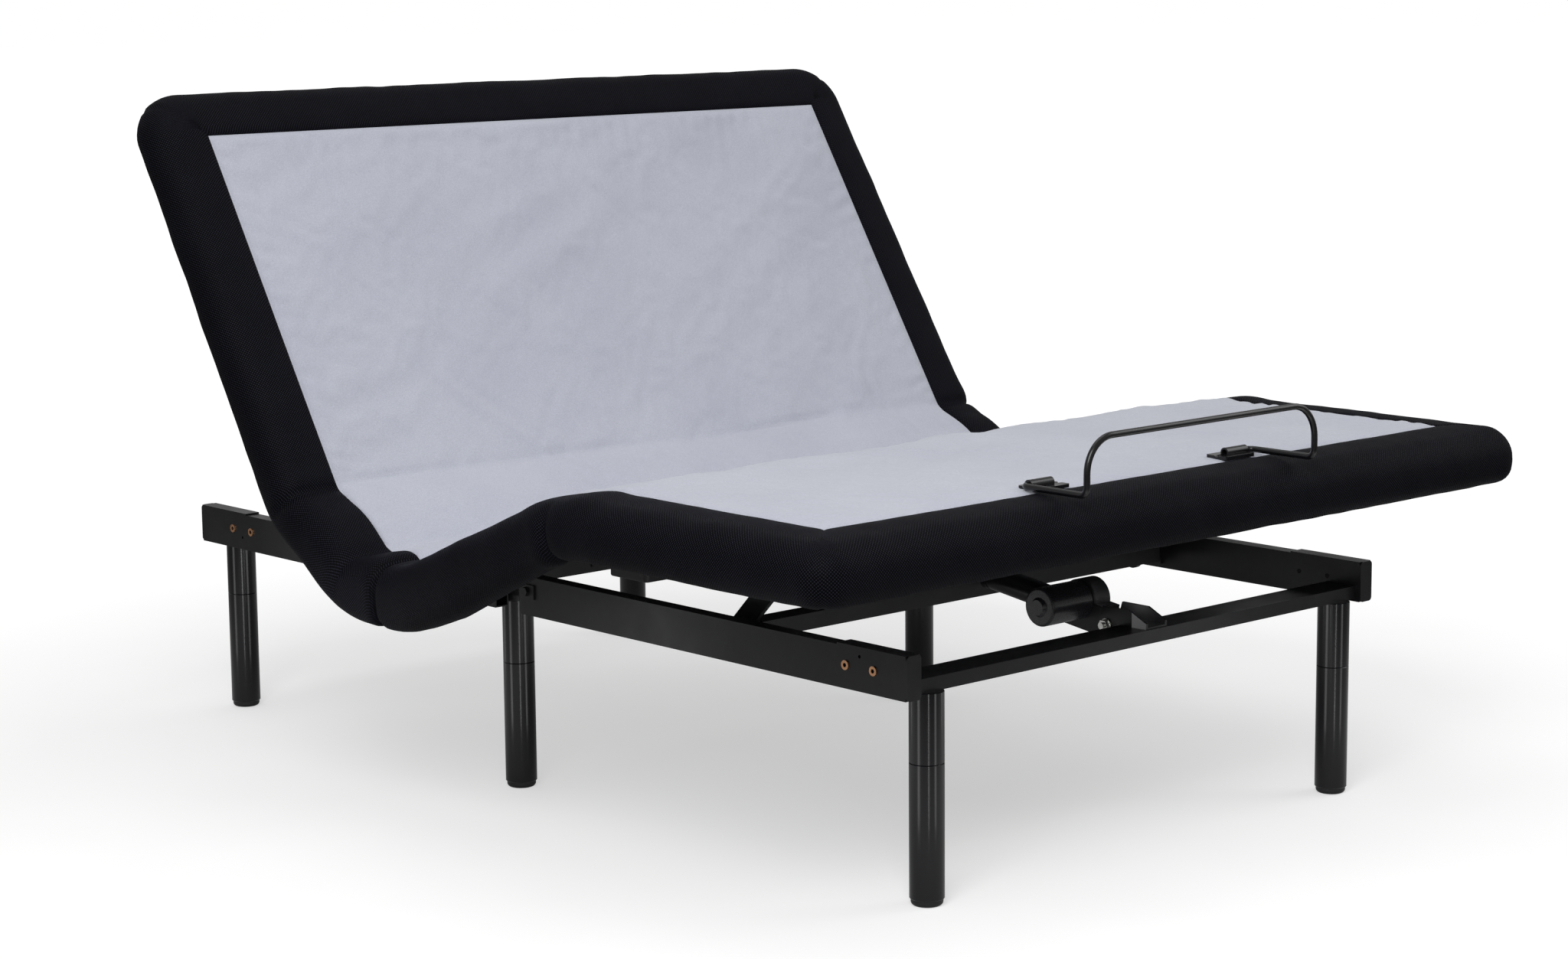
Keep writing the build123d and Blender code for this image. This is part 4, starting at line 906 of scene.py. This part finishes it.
floor_mesh.materials.append(ground.finish(ground.mix(pale, grey(0.0), far)))

AMBIENT = 0.42
world = bpy.data.worlds.new("studio")
scene.world = world
world.use_nodes = True
tree = world.node_tree
back = tree.nodes["Background"]
back.inputs["Color"].default_value = (1, 1, 1, 1)
ray = tree.nodes.new("ShaderNodeLightPath")
seen = arithmetic(
    tree, "MAXIMUM", ray.outputs["Is Camera Ray"], ray.outputs["Is Transmission Ray"]
)
strength = arithmetic(tree, "ADD", arithmetic(tree, "MULTIPLY", seen, 1 - AMBIENT), AMBIENT)
tree.links.new(strength, back.inputs["Strength"])


def lamp(name, place, aim, size, power):
    """A rectangular lamp that the camera doesn't see."""
    data = bpy.data.lights.new(name, "AREA")
    data.shape = "RECTANGLE"
    data.size, data.size_y = size
    data.energy = power
    obj = bpy.data.objects.new(name, data)
    scene.collection.objects.link(obj)
    obj.visible_camera = False
    aimed = (Vector(aim) - Vector(place)).to_track_quat("-Z", "Y").to_matrix().to_4x4()
    obj.matrix_world = Matrix.Translation(place) @ aimed
    return obj


lamp("key_light", (-2.9, -2.4, 3.0), (0, 0, 0.4), (2.2, 2.2), 120)
lamp("fill_light", (3.6, -2.2, 3.0), (0, 0, 0.4), (2.6, 2.6), 45)
lamp("top_light", (0.2, 0.4, 4.6), (0, 0.1, 0.4), (3.6, 3.6), 42)

# narrow panes beside the legs, which show as streaks in their gloss; they leave the floor alone
PANES = [  # way from the leg, width, power
    ((-0.993, 0.107), 0.12, 0.26), ((-0.531, -0.845), 0.03, 0.17), ((0.205, -0.977), 0.09, 0.2),
]
PANE_AWAY, PANE_UP, PANE_TALL = 0.45, 0.2, 0.4
spared = bpy.data.collections.new("spared_floor")
spared.objects.link(floor)
spared.collection_objects[0].light_linking.link_state = "EXCLUDE"
for leg in ("foot_left", "middle_left", "head_left", "foot_right"):
    leg_low, leg_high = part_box(f"leg_lower_{leg}")
    x, y = (leg_low[0] + leg_high[0]) / 2, (leg_low[1] + leg_high[1]) / 2
    for pane, ((dx, dy), wide, power) in enumerate(PANES):
        place = (x + dx * PANE_AWAY, y + dy * PANE_AWAY, PANE_UP)
        light = lamp(f"pane_{leg}_{pane}", place, (x, y, PANE_UP), (wide, PANE_TALL), power)
        light.light_linking.receiver_collection = spared

# the camera as solved from the photograph's perspective
CAMERA_PLACE = (-3.5604, -3.9539, 1.3153)
azimuth, elevation, roll = (math.radians(v) for v in (42.1425, 9.153, -0.519))
camera_data = bpy.data.cameras.new("camera")
camera_data.sensor_width = 36.0
camera_data.lens = 75.41
camera_data.clip_end = 200
camera = bpy.data.objects.new("camera", camera_data)
scene.collection.objects.link(camera)
scene.camera = camera
ahead = Vector((math.sin(azimuth), math.cos(azimuth), 0))
forward = ahead * math.cos(elevation) - Vector((0, 0, math.sin(elevation)))
right = Vector((math.cos(azimuth), -math.sin(azimuth), 0))
upward = ahead * math.sin(elevation) + Vector((0, 0, math.cos(elevation)))
across = right * math.cos(roll) + upward * math.sin(roll)
over = -right * math.sin(roll) + upward * math.cos(roll)
turn = Matrix((across, over, -forward)).transposed().to_4x4()
camera.matrix_world = Matrix.Translation(CAMERA_PLACE) @ turn

scene.view_settings.view_transform = "Standard"
